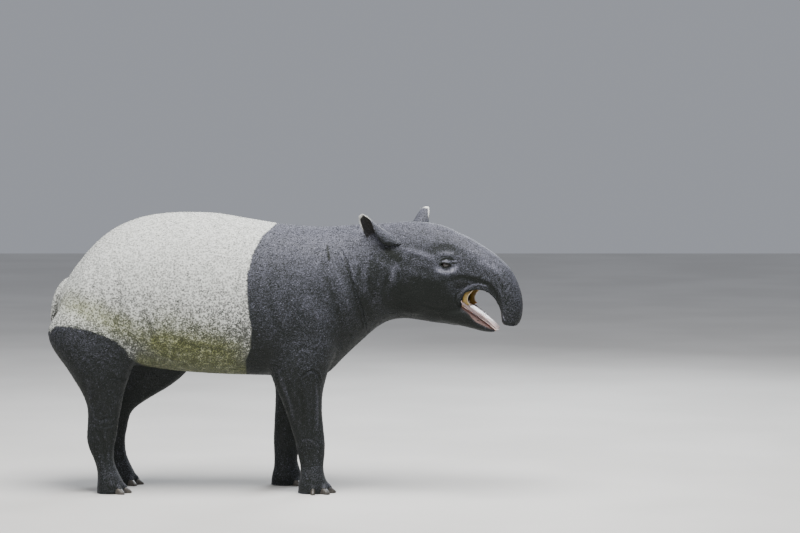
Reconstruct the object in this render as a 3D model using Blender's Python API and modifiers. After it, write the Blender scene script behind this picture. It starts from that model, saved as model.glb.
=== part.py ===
"""A life-size Malayan tapir, standing with its mouth open and its head turned a little to its right.

Metres, +Z up, +X towards the head, +Y to the animal's left. The forms are measured along the body from the
back of the rump and up from the floor, as if the animal looked straight ahead. A bend then turns the neck and
head. The trunk, head and legs are modelled as one skin, which thin cuts part into nodes, while the eyes, ears,
tongue, tail and hooves are solids of their own that sit in sockets of their own shape. At the end the whole
animal is moved so that its origin is the middle of its box on the floor.
"""

import math

import bmesh
import bpy
import numpy as np
from mathutils import Matrix, Vector

# Driving dimensions
GAP = 0.0003  # left between nodes that touch
HEAD_YAW = math.radians(20.0)  # how far the head is turned to the animal's right
BEND_FROM = 1.02  # where along the body the neck starts to turn
BEND_TO = 1.36  # where it has turned all the way, behind the ears
VOXEL = 0.0045  # of the remesh that makes one skin of the overlapping forms
SMOOTHINGS = 110  # passes over that skin, at full strength on the trunk
KEPT_TRIANGLES = 5800  # of the skin, before lids, nostrils, sockets and cuts
RING_POINTS = 40
TRUNK_RINGS = 110
SNOUT_RINGS = 46
JAW_RINGS = 26
LEG_RINGS = 70
LIP_RINGS = 36
TAIL_RINGS = 10
TONGUE_RINGS = 12
TAIL_POINTS = 12
TONGUE_POINTS = 14

# How square the sections of a form are (2 is an ellipse)
SNOUT_SQUARENESS = 2.2  # its outer half
JAW_SQUARENESS = 2.4
LEG_SQUARENESS = 2.25
TONGUE_SQUARENESS = 2.3
HOOF_SQUARENESS = 2.6

# The trunk and head as upright sections: place along the body, top, bottom, height of the widest line,
# half width there, then how square the upper and the lower half are
TRUNK = (
    (0.032, 0.725, 0.600, 0.665, 0.070, 2.2, 2.2),
    (0.055, 0.800, 0.550, 0.680, 0.125, 2.2, 2.2),
    (0.105, 0.880, 0.515, 0.695, 0.172, 2.1, 2.2),
    (0.180, 0.967, 0.495, 0.710, 0.200, 2.1, 2.2),
    (0.260, 1.028, 0.488, 0.715, 0.215, 2.05, 2.25),
    (0.350, 1.065, 0.484, 0.720, 0.224, 2.0, 2.3),
    (0.440, 1.082, 0.472, 0.710, 0.229, 2.0, 2.3),
    (0.530, 1.087, 0.461, 0.705, 0.238, 2.0, 2.3),
    (0.650, 1.083, 0.453, 0.700, 0.244, 2.0, 2.3),
    (0.760, 1.065, 0.449, 0.700, 0.241, 2.0, 2.3),
    (0.880, 1.045, 0.446, 0.705, 0.228, 2.0, 2.3),
    (1.000, 1.033, 0.440, 0.710, 0.208, 1.95, 2.2),
    (1.080, 1.031, 0.452, 0.730, 0.190, 1.9, 2.1),
    (1.150, 1.036, 0.520, 0.760, 0.171, 1.85, 2.0),
    (1.220, 1.041, 0.586, 0.800, 0.155, 1.85, 2.0),
    (1.275, 1.043, 0.634, 0.830, 0.143, 1.85, 2.0),
    (1.330, 1.047, 0.664, 0.850, 0.130, 1.9, 2.0),
    (1.390, 1.053, 0.674, 0.860, 0.117, 1.95, 2.0),
    (1.450, 1.054, 0.670, 0.860, 0.108, 2.0, 2.0),
    (1.510, 1.049, 0.662, 0.862, 0.100, 2.0, 2.0),
    (1.565, 1.035, 0.657, 0.862, 0.092, 2.0, 2.0),
    (1.610, 1.013, 0.653, 0.858, 0.074, 2.0, 2.0),
    (1.636, 0.975, 0.665, 0.850, 0.052, 2.0, 2.0),
)

# The snout as sections across its curved line: outer edge (along, up), inner edge (along, up), half width,
# how square the inner half is
SNOUT = (
    (1.520, 1.020, 1.560, 0.800, 0.080, 2.4),
    (1.613, 1.013, 1.632, 0.792, 0.074, 3.0),
    (1.698, 0.973, 1.680, 0.801, 0.066, 3.6),
    (1.767, 0.929, 1.716, 0.799, 0.060, 3.6),
    (1.824, 0.877, 1.748, 0.784, 0.055, 3.0),
    (1.854, 0.823, 1.770, 0.762, 0.051, 2.5),
    (1.871, 0.763, 1.783, 0.733, 0.047, 2.2),
    (1.872, 0.711, 1.788, 0.703, 0.044, 2.2),
    (1.862, 0.674, 1.790, 0.679, 0.039, 2.2),
    (1.847, 0.655, 1.796, 0.662, 0.029, 2.2),
)

SNOUT_TAPER = 0.12  # how much narrower it is along its outer edge than in its middle

# The front of the lower jaw: along, top, bottom, half width
JAW = (
    (1.560, 0.740, 0.664, 0.060),
    (1.610, 0.742, 0.655, 0.056),
    (1.645, 0.732, 0.649, 0.050),
    (1.685, 0.706, 0.640, 0.043),
    (1.718, 0.682, 0.633, 0.037),
    (1.746, 0.659, 0.631, 0.031),
    (1.766, 0.642, 0.632, 0.020),
)

JAW_FLARE = 0.10  # how much wider it is along its top than in its middle

# Rods as sections along their line: along, across, up, half width, half thickness
# The rolled edge of the upper lip on the left side, which fades out on the snout's inner edge
LIP = (
    (1.636, 0.050, 0.752, 0.0070, 0.0070),
    (1.642, 0.053, 0.770, 0.0080, 0.0080),
    (1.657, 0.056, 0.788, 0.0085, 0.0085),
    (1.682, 0.056, 0.800, 0.0085, 0.0085),
    (1.712, 0.053, 0.804, 0.0085, 0.0085),
    (1.740, 0.050, 0.797, 0.0080, 0.0080),
    (1.762, 0.045, 0.782, 0.0070, 0.0070),
    (1.778, 0.041, 0.764, 0.0060, 0.0060),
    (1.789, 0.038, 0.740, 0.0050, 0.0050),
    (1.797, 0.034, 0.715, 0.0035, 0.0035),
)

# The tongue, resting on the jaw and reaching over its tip
TONGUE = (
    (1.585, 0.0, 0.748, 0.030, 0.0120),
    (1.625, 0.0, 0.745, 0.034, 0.0140),
    (1.658, 0.0, 0.731, 0.037, 0.0150),
    (1.690, 0.0, 0.712, 0.036, 0.0150),
    (1.720, 0.0, 0.692, 0.034, 0.0145),
    (1.745, 0.0, 0.674, 0.031, 0.0140),
    (1.764, 0.0, 0.657, 0.026, 0.0125),
    (1.771, 0.0, 0.644, 0.016, 0.0080),
)

# The tail, which hangs down the rump
TAIL = (
    (0.108, 0.0, 0.822, 0.0180, 0.0180),
    (0.070, 0.0, 0.800, 0.0260, 0.0260),
    (0.042, 0.0, 0.765, 0.0240, 0.0240),
    (0.024, 0.0, 0.722, 0.0190, 0.0190),
    (0.0135, 0.0, 0.684, 0.0135, 0.0135),
    (0.009, 0.0, 0.660, 0.0065, 0.0065),
)

# Legs as level sections: height, rear edge, front edge. The animal stands with its left hind leg forward
FORE_RIGHT = (
    (0.740, 0.920, 1.110),
    (0.660, 0.880, 1.130),
    (0.560, 0.856, 1.125),
    (0.480, 0.860, 1.100),
    (0.430, 0.874, 1.084),
    (0.380, 0.896, 1.073),
    (0.320, 0.920, 1.071),
    (0.250, 0.942, 1.077),
    (0.200, 0.957, 1.083),
    (0.150, 0.967, 1.082),
    (0.105, 0.977, 1.076),
    (0.070, 0.978, 1.080),
    (0.040, 0.972, 1.090),
    (0.000, 0.968, 1.092),
    (-0.02, 0.968, 1.092),
)
FORE_LEFT = (
    (0.740, 0.890, 1.090),
    (0.660, 0.850, 1.105),
    (0.560, 0.830, 1.090),
    (0.480, 0.842, 1.064),
    (0.430, 0.857, 1.044),
    (0.380, 0.871, 1.026),
    (0.320, 0.871, 1.009),
    (0.250, 0.867, 0.993),
    (0.200, 0.865, 0.984),
    (0.150, 0.865, 0.970),
    (0.105, 0.867, 0.961),
    (0.070, 0.866, 0.967),
    (0.040, 0.859, 0.976),
    (0.000, 0.855, 0.978),
    (-0.02, 0.855, 0.978),
)
HIND_RIGHT = (
    (0.820, 0.150, 0.330),
    (0.760, 0.080, 0.385),
    (0.700, 0.036, 0.410),
    (0.640, 0.001, 0.408),
    (0.590, 0.006, 0.385),
    (0.540, 0.033, 0.354),
    (0.490, 0.070, 0.332),
    (0.440, 0.102, 0.315),
    (0.390, 0.132, 0.298),
    (0.340, 0.151, 0.288),
    (0.290, 0.154, 0.278),
    (0.220, 0.150, 0.268),
    (0.180, 0.156, 0.258),
    (0.130, 0.177, 0.256),
    (0.095, 0.188, 0.266),
    (0.065, 0.191, 0.280),
    (0.040, 0.190, 0.291),
    (0.000, 0.188, 0.293),
    (-0.02, 0.188, 0.293),
)
HIND_LEFT = (
    (0.820, 0.150, 0.350),
    (0.760, 0.086, 0.420),
    (0.700, 0.046, 0.478),
    (0.640, 0.022, 0.517),
    (0.590, 0.033, 0.540),
    (0.540, 0.063, 0.552),
    (0.490, 0.100, 0.550),
    (0.440, 0.135, 0.520),
    (0.390, 0.163, 0.458),
    (0.340, 0.179, 0.374),
    (0.290, 0.177, 0.308),
    (0.220, 0.173, 0.288),
    (0.180, 0.181, 0.281),
    (0.130, 0.203, 0.283),
    (0.095, 0.216, 0.294),
    (0.065, 0.219, 0.308),
    (0.040, 0.218, 0.319),
    (0.000, 0.216, 0.321),
    (-0.02, 0.216, 0.321),
)

# How far the legs reach from the midline: height, inner side, outer side
FORE_SIDES = (
    (-0.02, 0.074, 0.172),
    (0.040, 0.074, 0.172),
    (0.070, 0.078, 0.168),
    (0.105, 0.084, 0.160),
    (0.150, 0.084, 0.161),
    (0.200, 0.079, 0.168),
    (0.260, 0.079, 0.170),
    (0.340, 0.070, 0.182),
    (0.430, 0.050, 0.197),
    (0.500, 0.030, 0.206),
    (0.600, 0.030, 0.206),
    (0.740, 0.060, 0.180),
)
HIND_SIDES = (
    (-0.02, 0.074, 0.172),
    (0.040, 0.075, 0.171),
    (0.095, 0.084, 0.162),
    (0.150, 0.085, 0.161),
    (0.220, 0.080, 0.168),
    (0.300, 0.078, 0.172),
    (0.380, 0.066, 0.186),
    (0.460, 0.045, 0.203),
    (0.560, 0.020, 0.217),
    (0.660, 0.015, 0.218),
    (0.760, 0.020, 0.182),
    (0.820, 0.040, 0.130),
)

# Muscles and bones laid under the skin, one for each side: place, radii, lean about the animal's left
MUSCLES = (
    ((0.195, 0.118, 0.610), (0.165, 0.096, 0.160), 0.0),  # thigh
    ((1.000, 0.112, 0.690), (0.130, 0.098, 0.240), -14.0),  # shoulder blade
    ((0.935, 0.132, 0.590), (0.100, 0.074, 0.130), 30.0),  # triceps
    ((1.175, 0.072, 0.800), (0.130, 0.085, 0.120), 8.0),  # side of the neck
    ((1.450, 0.058, 0.800), (0.105, 0.046, 0.108), 0.0),  # cheek
    ((1.500, 0.072, 0.903), (0.105, 0.028, 0.019), 12.0),  # cheek bone
    ((1.580, 0.058, 0.928), (0.050, 0.024, 0.016), 16.0),  # brow
    ((1.624, 0.046, 0.772), (0.026, 0.014, 0.042), 0.0),  # fold of cheek in the corner of the mouth
)

# How freely the skin is smoothed along the body and up from the floor: place, strength
SOFT_ALONG = ((1.10, 1.0), (1.32, 0.50), (1.50, 0.35), (1.57, 0.05))
SOFT_UP = ((0.10, 0.05), (0.16, 0.15), (0.36, 0.25), (0.50, 1.0))

# Where the skin may have fewer triangles, along the body and up from the floor: place, share
PLAIN_ALONG = ((1.30, 1.0), (1.50, 0.15))
PLAIN_UP = ((0.08, 0.4), (0.16, 1.0))
PLAIN_FACTOR = 0.35
WEIGHT_STEPS = 40

EYE_AT = (1.588, 0.0735, 0.893)
EYE_RADIUS = 0.018
EYE_LEAN = 8.0  # of the sphere's poles, which keeps its edges off the corners between the lids
LID = 0.0035
FISSURE = (0.0175, 0.0085)  # half width and half height of the opening between the lids
FISSURE_POINTING = 0.35  # how much lower it gets towards its corners than an ellipse

NOSTRIL_AT = (1.836, 0.020, 0.664)
NOSTRIL_RADII = (0.014, 0.009, 0.020)
THROAT_AT = (1.625, 0.0, 0.752)
THROAT_RADII = (0.052, 0.030, 0.022)

# Each ear: root, tip, the way its cup opens and how far its middle line bows, in the head's own frame
EARS = {
    "ear_right": ((1.410, -0.066, 0.948), (1.240, -0.128, 1.078), (-0.30, -0.90, 0.10), -0.024),
    "ear_left": ((1.410, 0.066, 0.948), (1.440, 0.120, 1.104), (0.35, 0.90, -0.10), 0.0),
}
EAR_THICKNESS = 0.008
EAR_THINNING = 0.5  # how much of the thickness is lost at the tip
EAR_DEPTH = 0.5  # how far the cup's middle line is pushed towards its opening
# Along an ear from its root to its tip: share of the length, half width, half angle of the cup
EAR_FORM = (
    (0.00, 0.032, 92.0),
    (0.15, 0.040, 84.0),
    (0.35, 0.044, 72.0),
    (0.55, 0.041, 60.0),
    (0.75, 0.032, 50.0),
    (0.90, 0.021, 44.0),
    (0.97, 0.013, 42.0),
    (1.00, 0.006, 40.0),
)
EAR_RINGS = 11
EAR_STEPS = 8  # across each face of an ear

# Toes: name, direction from straight ahead towards the outside, reach of the hoof's back, hoof half width
FORE_TOES = (
    ("inner", -40.0, 0.051, 0.0145),
    ("middle", 0.0, 0.056, 0.0170),
    ("outer", 40.0, 0.051, 0.0145),
    ("side", 88.0, 0.041, 0.0100),
)
HIND_TOES = (
    ("inner", -40.0, 0.051, 0.0145),
    ("middle", 0.0, 0.057, 0.0170),
    ("outer", 40.0, 0.051, 0.0145),
)
# A hoof from its back to its tip: distance, share of the half width, height
HOOF = (
    (-0.006, 0.94, 0.033),
    (0.000, 1.00, 0.032),
    (0.012, 0.98, 0.025),
    (0.023, 0.84, 0.017),
    (0.031, 0.58, 0.010),
    (0.035, 0.25, 0.005),
)
HOOF_STEPS = 6  # round the wall of a hoof
HOOF_RINGS = 7
HOOF_WALL = 0.92  # share of its height that is rounded, above an upright wall
SOLE_UNDER = 0.03  # how far a hoof's cutter reaches below the floor
# The bulb of flesh behind a hoof: middle along the toe, its height, half length, half height, share of the
# hoof's half width
TOE_BULB = (-0.012, 0.016, 0.034, 0.027, 1.12)
# Middle of each foot
FEET = {
    "forefoot_right": (1.026, -0.123, FORE_TOES),
    "forefoot_left": (0.912, 0.123, FORE_TOES),
    "hindfoot_right": (0.232, -0.123, HIND_TOES),
    "hindfoot_left": (0.260, 0.123, HIND_TOES),
}

# Flat cuts through the skin: a point in the cut, the way it faces, half height, half breadth
CUTS = (
    ((1.128, 0.760), (1.0, 0.14), 0.34, 0.30),  # chest from neck
    ((1.262, 0.860), (1.0, 0.0), 0.28, 0.24),  # neck from head
    ((1.7165, 0.885), (0.940, -0.342), 0.140, 0.12),  # head from snout
    ((1.628, 0.683), (0.868, -0.497), 0.083, 0.12),  # head from lower jaw
    ((0.790, 0.750), (1.0, -0.20), 0.42, 0.32),  # barrel from chest
    ((0.500, 0.740), (1.0, 0.25), 0.36, 0.32),  # rump from barrel
    ((0.260, 0.536), (0.371, 0.928), 0.370, 0.32),  # thighs from rump
    ((0.960, 0.425), (0.0, 1.0), 0.200, 0.28),  # forelegs from chest
    ((0.980, 0.150), (0.0, 1.0), 0.200, 0.28),  # forefeet
    ((0.230, 0.345), (0.0, 1.0), 0.200, 0.28),  # shanks from thighs
    ((0.230, 0.150), (0.0, 1.0), 0.160, 0.28),  # hind feet
)
THIGHS_APART = ((0.260, 0.340), (0.0, 0.0), 0.400, 0.34)  # facing the midline
THIGHS_MIDDLE = (0.26, 0.0, 0.49)
FLOOR_BLOCK = ((-0.5, -0.5, -0.1), (2.2, 0.5, 0.0))  # takes away what reaches below the floor
SCRAP = 0.03  # a loose bit of the skin smaller than this is dropped

# A point in the middle of each part of the skin, which names it
FLESH = {
    "proboscis": (1.80, 0.0, 0.80),
    "head": (1.47, 0.0, 0.86),
    "lower_jaw": (1.70, 0.0, 0.66),
    "neck": (1.18, 0.0, 0.80),
    "chest": (0.95, 0.0, 0.74),
    "barrel": (0.66, 0.0, 0.76),
    "rump": (0.28, 0.0, 0.76),
    "thigh_right": (0.20, -0.12, 0.46),
    "thigh_left": (0.28, 0.12, 0.43),
    "shank_right": (0.21, -0.12, 0.25),
    "shank_left": (0.24, 0.12, 0.25),
    "hindfoot_right": (0.24, -0.12, 0.06),
    "hindfoot_left": (0.26, 0.12, 0.06),
    "foreleg_right": (1.00, -0.12, 0.29),
    "foreleg_left": (0.94, 0.12, 0.29),
    "forefoot_right": (1.02, -0.12, 0.06),
    "forefoot_left": (0.91, 0.12, 0.06),
}
WHITE_PARTS = ("barrel", "rump")
BALL_SEGMENTS = 32
SMALL_SEGMENTS = 16
FEW_SEGMENTS = 10

# Materials: base colour, roughness
MATERIALS = {
    "black hide": ((0.045, 0.045, 0.052), 0.62),
    "white hide": ((0.55, 0.54, 0.50), 0.70),
    "hoof horn": ((0.055, 0.048, 0.042), 0.45),
    "eye": ((0.020, 0.012, 0.010), 0.08),
    "tongue flesh": ((0.70, 0.46, 0.42), 0.35),
}


def clear_scene():
    for old in list(bpy.data.objects):
        bpy.data.objects.remove(old)


def named_collection(name):
    made = bpy.data.collections.new(name)
    bpy.context.scene.collection.children.link(made)
    return made


def named_materials():
    made = {}
    for name, (colour, roughness) in MATERIALS.items():
        material = bpy.data.materials.new(name)
        material.use_nodes = True
        shader = material.node_tree.nodes["Principled BSDF"]
        shader.inputs["Base Color"].default_value = (*colour, 1)
        shader.inputs["Roughness"].default_value = roughness
        shader.inputs["Metallic"].default_value = 0
        made[name] = material
    return made


def through(rows, count):
    """Rows of numbers spread evenly along a smooth curve through the given rows."""
    rows = np.array(rows, float)
    padded = np.vstack([2 * rows[0] - rows[1], rows, 2 * rows[-1] - rows[-2]])
    out = []
    for at in np.linspace(0, len(rows) - 1, count):
        i = min(int(at), len(rows) - 2)
        t = at - i
        a, b, c, d = padded[i : i + 4]
        slope = (c - a) * t
        bow = (2 * a - 5 * b + 4 * c - d) * t**2
        twist = (3 * b - a - 3 * c + d) * t**3
        out.append(0.5 * (2 * b + slope + bow + twist))
    return np.array(out)


def rounded(angle, squareness):
    """Cosine and sine of an angle on a superellipse."""
    power = 2 / squareness
    c, s = math.cos(angle), math.sin(angle)
    return math.copysign(abs(c) ** power, c), math.copysign(abs(s) ** power, s)


def angles(count=RING_POINTS):
    return [2 * math.pi * i / count for i in range(count)]


def turned(along):
    """The yaw of the body at a place along it."""
    share = (along - BEND_FROM) / (BEND_TO - BEND_FROM)
    return HEAD_YAW * min(max(share, 0), 1)


def bend(point):
    """Where a point of the straight animal goes once the neck has turned."""
    along, across, up = point
    yaw = turned(along)
    x = min(along, BEND_FROM)
    y = 0.0
    if yaw > 0:
        radius = (BEND_TO - BEND_FROM) / HEAD_YAW
        beyond = max(along - BEND_TO, 0)
        x += radius * math.sin(yaw) + beyond * math.cos(HEAD_YAW)
        y -= radius * (1 - math.cos(yaw)) + beyond * math.sin(HEAD_YAW)
    return Vector((x + across * math.sin(yaw), y + across * math.cos(yaw), up))


def bent_frame(point):
    """The matrix that stands a shape made at the origin on a point of the bent animal."""
    return Matrix.Translation(bend(point)) @ Matrix.Rotation(-turned(point[0]), 4, "Z")


def object_of(name, form, collection):
    """An object made from a bmesh whose faces are turned to point outwards."""
    bmesh.ops.recalc_face_normals(form, faces=form.faces)
    mesh = bpy.data.meshes.new(name)
    form.to_mesh(mesh)
    form.free()
    made = bpy.data.objects.new(name, mesh)
    collection.objects.link(made)
    return made


def cap(form, loop):
    """Closes the end of a tube with a strip of triangles from one half of the loop to the other."""
    last = len(loop) - 1
    for i in range(len(loop) // 2):
        a, b, c, d = i, i + 1, last - i - 1, last - i
        if b < c:
            form.faces.new((loop[a], loop[b], loop[c]))
        if a < c:
            form.faces.new((loop[a], loop[c], loop[d]))


def loft(name, rings, collection):
    """A closed tube through rings that have equally many points."""
    form = bmesh.new()
    loops = [[form.verts.new(point) for point in ring] for ring in rings]
    for near, far in zip(loops, loops[1:]):
        for i in range(len(near)):
            j = (i + 1) % len(near)
            form.faces.new((near[i], near[j], far[j]))
            form.faces.new((near[i], far[j], far[i]))
    cap(form, loops[0])
    cap(form, loops[-1])
    return object_of(name, form, collection)


def trunk(collection):
    rings = []
    for along, top, bottom, wide_at, half, upper, lower in through(TRUNK, TRUNK_RINGS):
        ring = []
        for angle in angles():
            c, s = rounded(angle, upper if angle < math.pi else lower)
            reach = top - wide_at if s > 0 else wide_at - bottom
            ring.append(bend((along, half * c, wide_at + reach * s)))
        rings.append(ring)
    return loft("trunk", rings, collection)


def snout(collection):
    """The proboscis, a little narrower along its top than along the lip."""
    rings = []
    for out_x, out_z, in_x, in_z, half, square in through(SNOUT, SNOUT_RINGS):
        middle = np.array(((out_x + in_x) / 2, (out_z + in_z) / 2))
        reach = np.array((out_x - in_x, out_z - in_z)) / 2
        ring = []
        for angle in angles():
            c, s = rounded(angle, SNOUT_SQUARENESS if angle < math.pi else square)
            along, up = middle + reach * s
            ring.append(bend((along, half * c * (1 - SNOUT_TAPER * s), up)))
        rings.append(ring)
    return loft("snout", rings, collection)


def jaw(collection):
    rings = []
    for along, top, bottom, half in through(JAW, JAW_RINGS):
        middle, reach = (top + bottom) / 2, (top - bottom) / 2
        ring = []
        for angle in angles():
            c, s = rounded(angle, JAW_SQUARENESS)
            ring.append(bend((along, half * c * (1 + JAW_FLARE * s), middle + reach * s)))
        rings.append(ring)
    return loft("jaw", rings, collection)


def rod(name, sections, points, squareness, collection, side=1, grow=0.0):
    """A closed rod along an upright line. Grow thickens it and pushes its ends out."""
    rings = []
    last = len(sections) - 1
    for i, (along, across, up, half, thick) in enumerate(sections):
        ahead = sections[min(i + 1, last)] - sections[max(i - 1, 0)]
        fore, rise = np.array((ahead[0], ahead[2])) / math.hypot(ahead[0], ahead[2])
        push = grow * ((i == last) - (i == 0))
        ring = []
        for angle in angles(points):
            c, s = rounded(angle, squareness)
            lift = (thick + grow) * s
            place = along + fore * push - rise * lift
            height = up + rise * push + fore * lift
            ring.append(bend((place, side * (across + (half + grow) * c), height)))
        rings.append(ring)
    return loft(name, rings, collection)


def lip(side, collection):
    return rod("lip", through(LIP, LIP_RINGS), SMALL_SEGMENTS, 2, collection, side)


def tongue(name, collection, grow=0.0):
    sections = through(TONGUE, TONGUE_RINGS)
    return rod(name, sections, TONGUE_POINTS, TONGUE_SQUARENESS, collection, grow=grow)


def tail(name, collection, grow=0.0):
    return rod(name, through(TAIL, TAIL_RINGS), TAIL_POINTS, 2, collection, grow=grow)


def leg(name, edges, sides, side, collection):
    """A leg from its level sections. side is 1 on the animal's left and -1 on its right."""
    heights, inner, outer = np.array(sides).T
    rings = []
    for up, rear, front in through(edges, LEG_RINGS):
        near = np.interp(up, heights, inner)
        far = np.interp(up, heights, outer)
        ring = []
        for angle in angles():
            c, s = rounded(angle, LEG_SQUARENESS)
            along = (rear + front) / 2 + (front - rear) / 2 * c
            across = (near + far) / 2 + (far - near) / 2 * s
            ring.append(bend((along, side * across, up)))
        rings.append(ring)
    return loft(name, rings, collection)


def ball(name, centre, radii, collection, lean=0.0, segments=BALL_SEGMENTS):
    """An ellipsoid, leant about the animal's left, in the place where the bend puts it."""
    form = bmesh.new()
    bmesh.ops.create_uvsphere(form, u_segments=segments, v_segments=segments // 2, radius=1)
    turn = Matrix.Rotation(math.radians(lean), 4, "Y") @ Matrix.Diagonal((*radii, 1))
    for vertex in form.verts:
        vertex.co = bend(turn @ vertex.co + Vector(centre))
    return object_of(name, form, collection)


def muscles(collection):
    made = []
    for centre, radii, lean in MUSCLES:
        for side in (-1, 1):
            place = (centre[0], side * centre[1], centre[2])
            made.append(ball("muscle", place, radii, collection, lean))
    return made


def toe_place(foot, toe):
    """The matrix of a toe: its origin at the hoof's back on the floor, +X along the toe."""
    along, across, _ = FEET[foot]
    _, heading, reach, _ = toe
    outward = math.copysign(math.radians(heading), across * heading)
    middle = Matrix.Translation((along, across, 0)) @ Matrix.Rotation(outward, 4, "Z")
    return middle @ Matrix.Translation((reach, 0, 0))


def toe_flesh(foot, toe, collection):
    """The flesh of a toe, a bulb that ends under the hoof's upper edge."""
    form = bmesh.new()
    bmesh.ops.create_uvsphere(form, u_segments=SMALL_SEGMENTS, v_segments=SMALL_SEGMENTS, radius=1)
    middle, height, half_length, half_height, share = TOE_BULB
    radii = (half_length, share * toe[3], half_height)
    shape = Matrix.Translation((middle, 0, height)) @ Matrix.Diagonal((*radii, 1))
    bmesh.ops.transform(form, matrix=toe_place(foot, toe) @ shape, verts=form.verts)
    return object_of("toe", form, collection)


def hoof(name, foot, toe, collection, grow=0.0):
    """A hoof, flat on the floor. As a cutter it is grown on all sides and reaches below the floor."""
    half = toe[3]
    sole = -SOLE_UNDER if grow else 0.0
    rings = []
    for i, (reach, share, height) in enumerate(through(HOOF, HOOF_RINGS)):
        along = reach + (grow if i else -grow)
        ring = [(along, -half * share - grow, sole), (along, half * share + grow, sole)]
        for step in range(HOOF_STEPS + 1):
            angle = math.pi * step / HOOF_STEPS
            c, s = rounded(angle, HOOF_SQUARENESS)
            up = (height + grow) * s * HOOF_WALL + height * (1 - HOOF_WALL)
            ring.append((along, (half * share + grow) * c, up))
        rings.append(ring)
    place = toe_place(foot, toe)
    rings = [[place @ Vector(point) for point in ring] for ring in rings]
    return loft(name, rings, collection)


def ear(name, collection, grow=0.0):
    """A cupped leaf with an even thickness, rolled almost to a tube at its root."""
    root, tip, opens, bow = EARS[name]
    root, tip = Vector(root), Vector(tip)
    way = (tip - root).normalized()
    out = Vector(opens)
    out = (out - way * out.dot(way)).normalized()
    broad = way.cross(out)
    length = (tip - root).length
    rings = []
    for share, half, cup in through(EAR_FORM, EAR_RINGS):
        angle = math.radians(cup)
        radius = half / math.sin(min(angle, math.pi / 2))
        middle = root + way * (length * share + (grow if share > 0.5 else -grow))
        middle += broad * (bow * 4 * share * (1 - share))
        thick = EAR_THICKNESS * (1 - EAR_THINNING * share**4) / 2 + grow
        ring = []
        for face in (1, -1):
            for step in range(EAR_STEPS + 1):
                turn = angle * (2 * step / EAR_STEPS - 1) * face * (1 + grow / half)
                from_axis = radius + thick * face
                sideways = broad * (from_axis * math.sin(turn))
                deep = out * (radius * math.cos(angle) * EAR_DEPTH - from_axis * math.cos(turn))
                ring.append(bend(middle + sideways + deep))
        rings.append(ring)
    return loft(name, rings, collection)


def slab(cut, collection):
    """A sheet as thin as the gap, square to the midline, for a flat cut."""
    (along, up), (fore, rise), half_height, half_breadth = cut
    form = bmesh.new()
    bmesh.ops.create_cube(form, size=2)
    if fore == rise == 0:
        shape = Matrix.Diagonal((half_breadth, GAP / 2, half_height, 1))
    else:
        lean = Matrix.Rotation(-math.atan2(rise, fore), 4, "Y")
        shape = lean @ Matrix.Diagonal((GAP / 2, half_breadth, half_height, 1))
    bmesh.ops.transform(form, matrix=bent_frame((along, 0, up)) @ shape, verts=form.verts)
    return object_of("cut", form, collection)


def block(low, high, collection):
    form = bmesh.new()
    bmesh.ops.create_cube(form, size=1)
    low, high = Vector(low), Vector(high)
    shape = Matrix.Translation((low + high) / 2) @ Matrix.Diagonal((*(high - low), 1))
    bmesh.ops.transform(form, matrix=shape, verts=form.verts)
    return object_of("block", form, collection)


def apply_modifiers(made):
    """Keeps the object's mesh as its modifiers leave it."""
    bpy.context.view_layer.update()
    graph = bpy.context.evaluated_depsgraph_get()
    mesh = bpy.data.meshes.new_from_object(made.evaluated_get(graph))
    made.modifiers.clear()
    old = made.data
    made.data = mesh
    bpy.data.meshes.remove(old)


def combine(made, cutter, operation="DIFFERENCE"):
    """Cuts or joins the second object's shape, which is then removed."""
    boolean = made.modifiers.new(operation.lower(), "BOOLEAN")
    boolean.operation = operation
    boolean.object = cutter
    apply_modifiers(made)
    bpy.data.objects.remove(cutter)


def joined(name, pieces, collection):
    """One object that holds all the pieces' meshes, still overlapping."""
    form = bmesh.new()
    for piece in pieces:
        form.from_mesh(piece.data)
        bpy.data.objects.remove(piece)
    mesh = bpy.data.meshes.new(name)
    form.to_mesh(mesh)
    form.free()
    made = bpy.data.objects.new(name, mesh)
    collection.objects.link(made)
    return made


def loose_parts(made, collection):
    """The closed bodies in an object, each as an object of its own, without scraps."""
    form = bmesh.new()
    form.from_mesh(made.data)
    bpy.data.objects.remove(made)
    parts = []
    left = set(form.verts)
    for start in form.verts:
        if start not in left:
            continue
        body = set()
        edge = {start}
        while edge:
            body |= edge
            edge = {e.other_vert(v) for v in edge for e in v.link_edges} - body
        left -= body
        piece = bmesh.new()
        copies = {v: piece.verts.new(v.co) for v in form.verts if v in body}
        for face in form.faces:
            if face.verts[0] in body:
                piece.faces.new([copies[v] for v in face.verts])
        mesh = bpy.data.meshes.new("part")
        piece.to_mesh(mesh)
        piece.free()
        part = bpy.data.objects.new("part", mesh)
        collection.objects.link(part)
        parts.append(part)
    form.free()
    return parts


def middle_of(made):
    corners = [vertex.co for vertex in made.data.vertices]
    low = Vector(map(min, zip(*corners)))
    high = Vector(map(max, zip(*corners)))
    return (low + high) / 2


def size_of(made):
    """The longest side of the object's box."""
    corners = [vertex.co for vertex in made.data.vertices]
    return max(max(side) - min(side) for side in zip(*corners))


def take_nearest(parts, point):
    """The part whose box lies nearest round a point, taken out of the list."""
    found = min(parts, key=lambda part: (middle_of(part) - Vector(point)).length)
    parts.remove(found)
    return found


def strength(point):
    """How freely the skin is smoothed at a point."""
    along = np.interp(point.x, *zip(*SOFT_ALONG))
    up = np.interp(point.z, *zip(*SOFT_UP))
    return min(along, up)


def plainness(point):
    """How few triangles the skin needs at a point: the head and feet keep more than the trunk."""
    return np.interp(point.x, *zip(*PLAIN_ALONG)) * np.interp(point.z, *zip(*PLAIN_UP))


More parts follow.
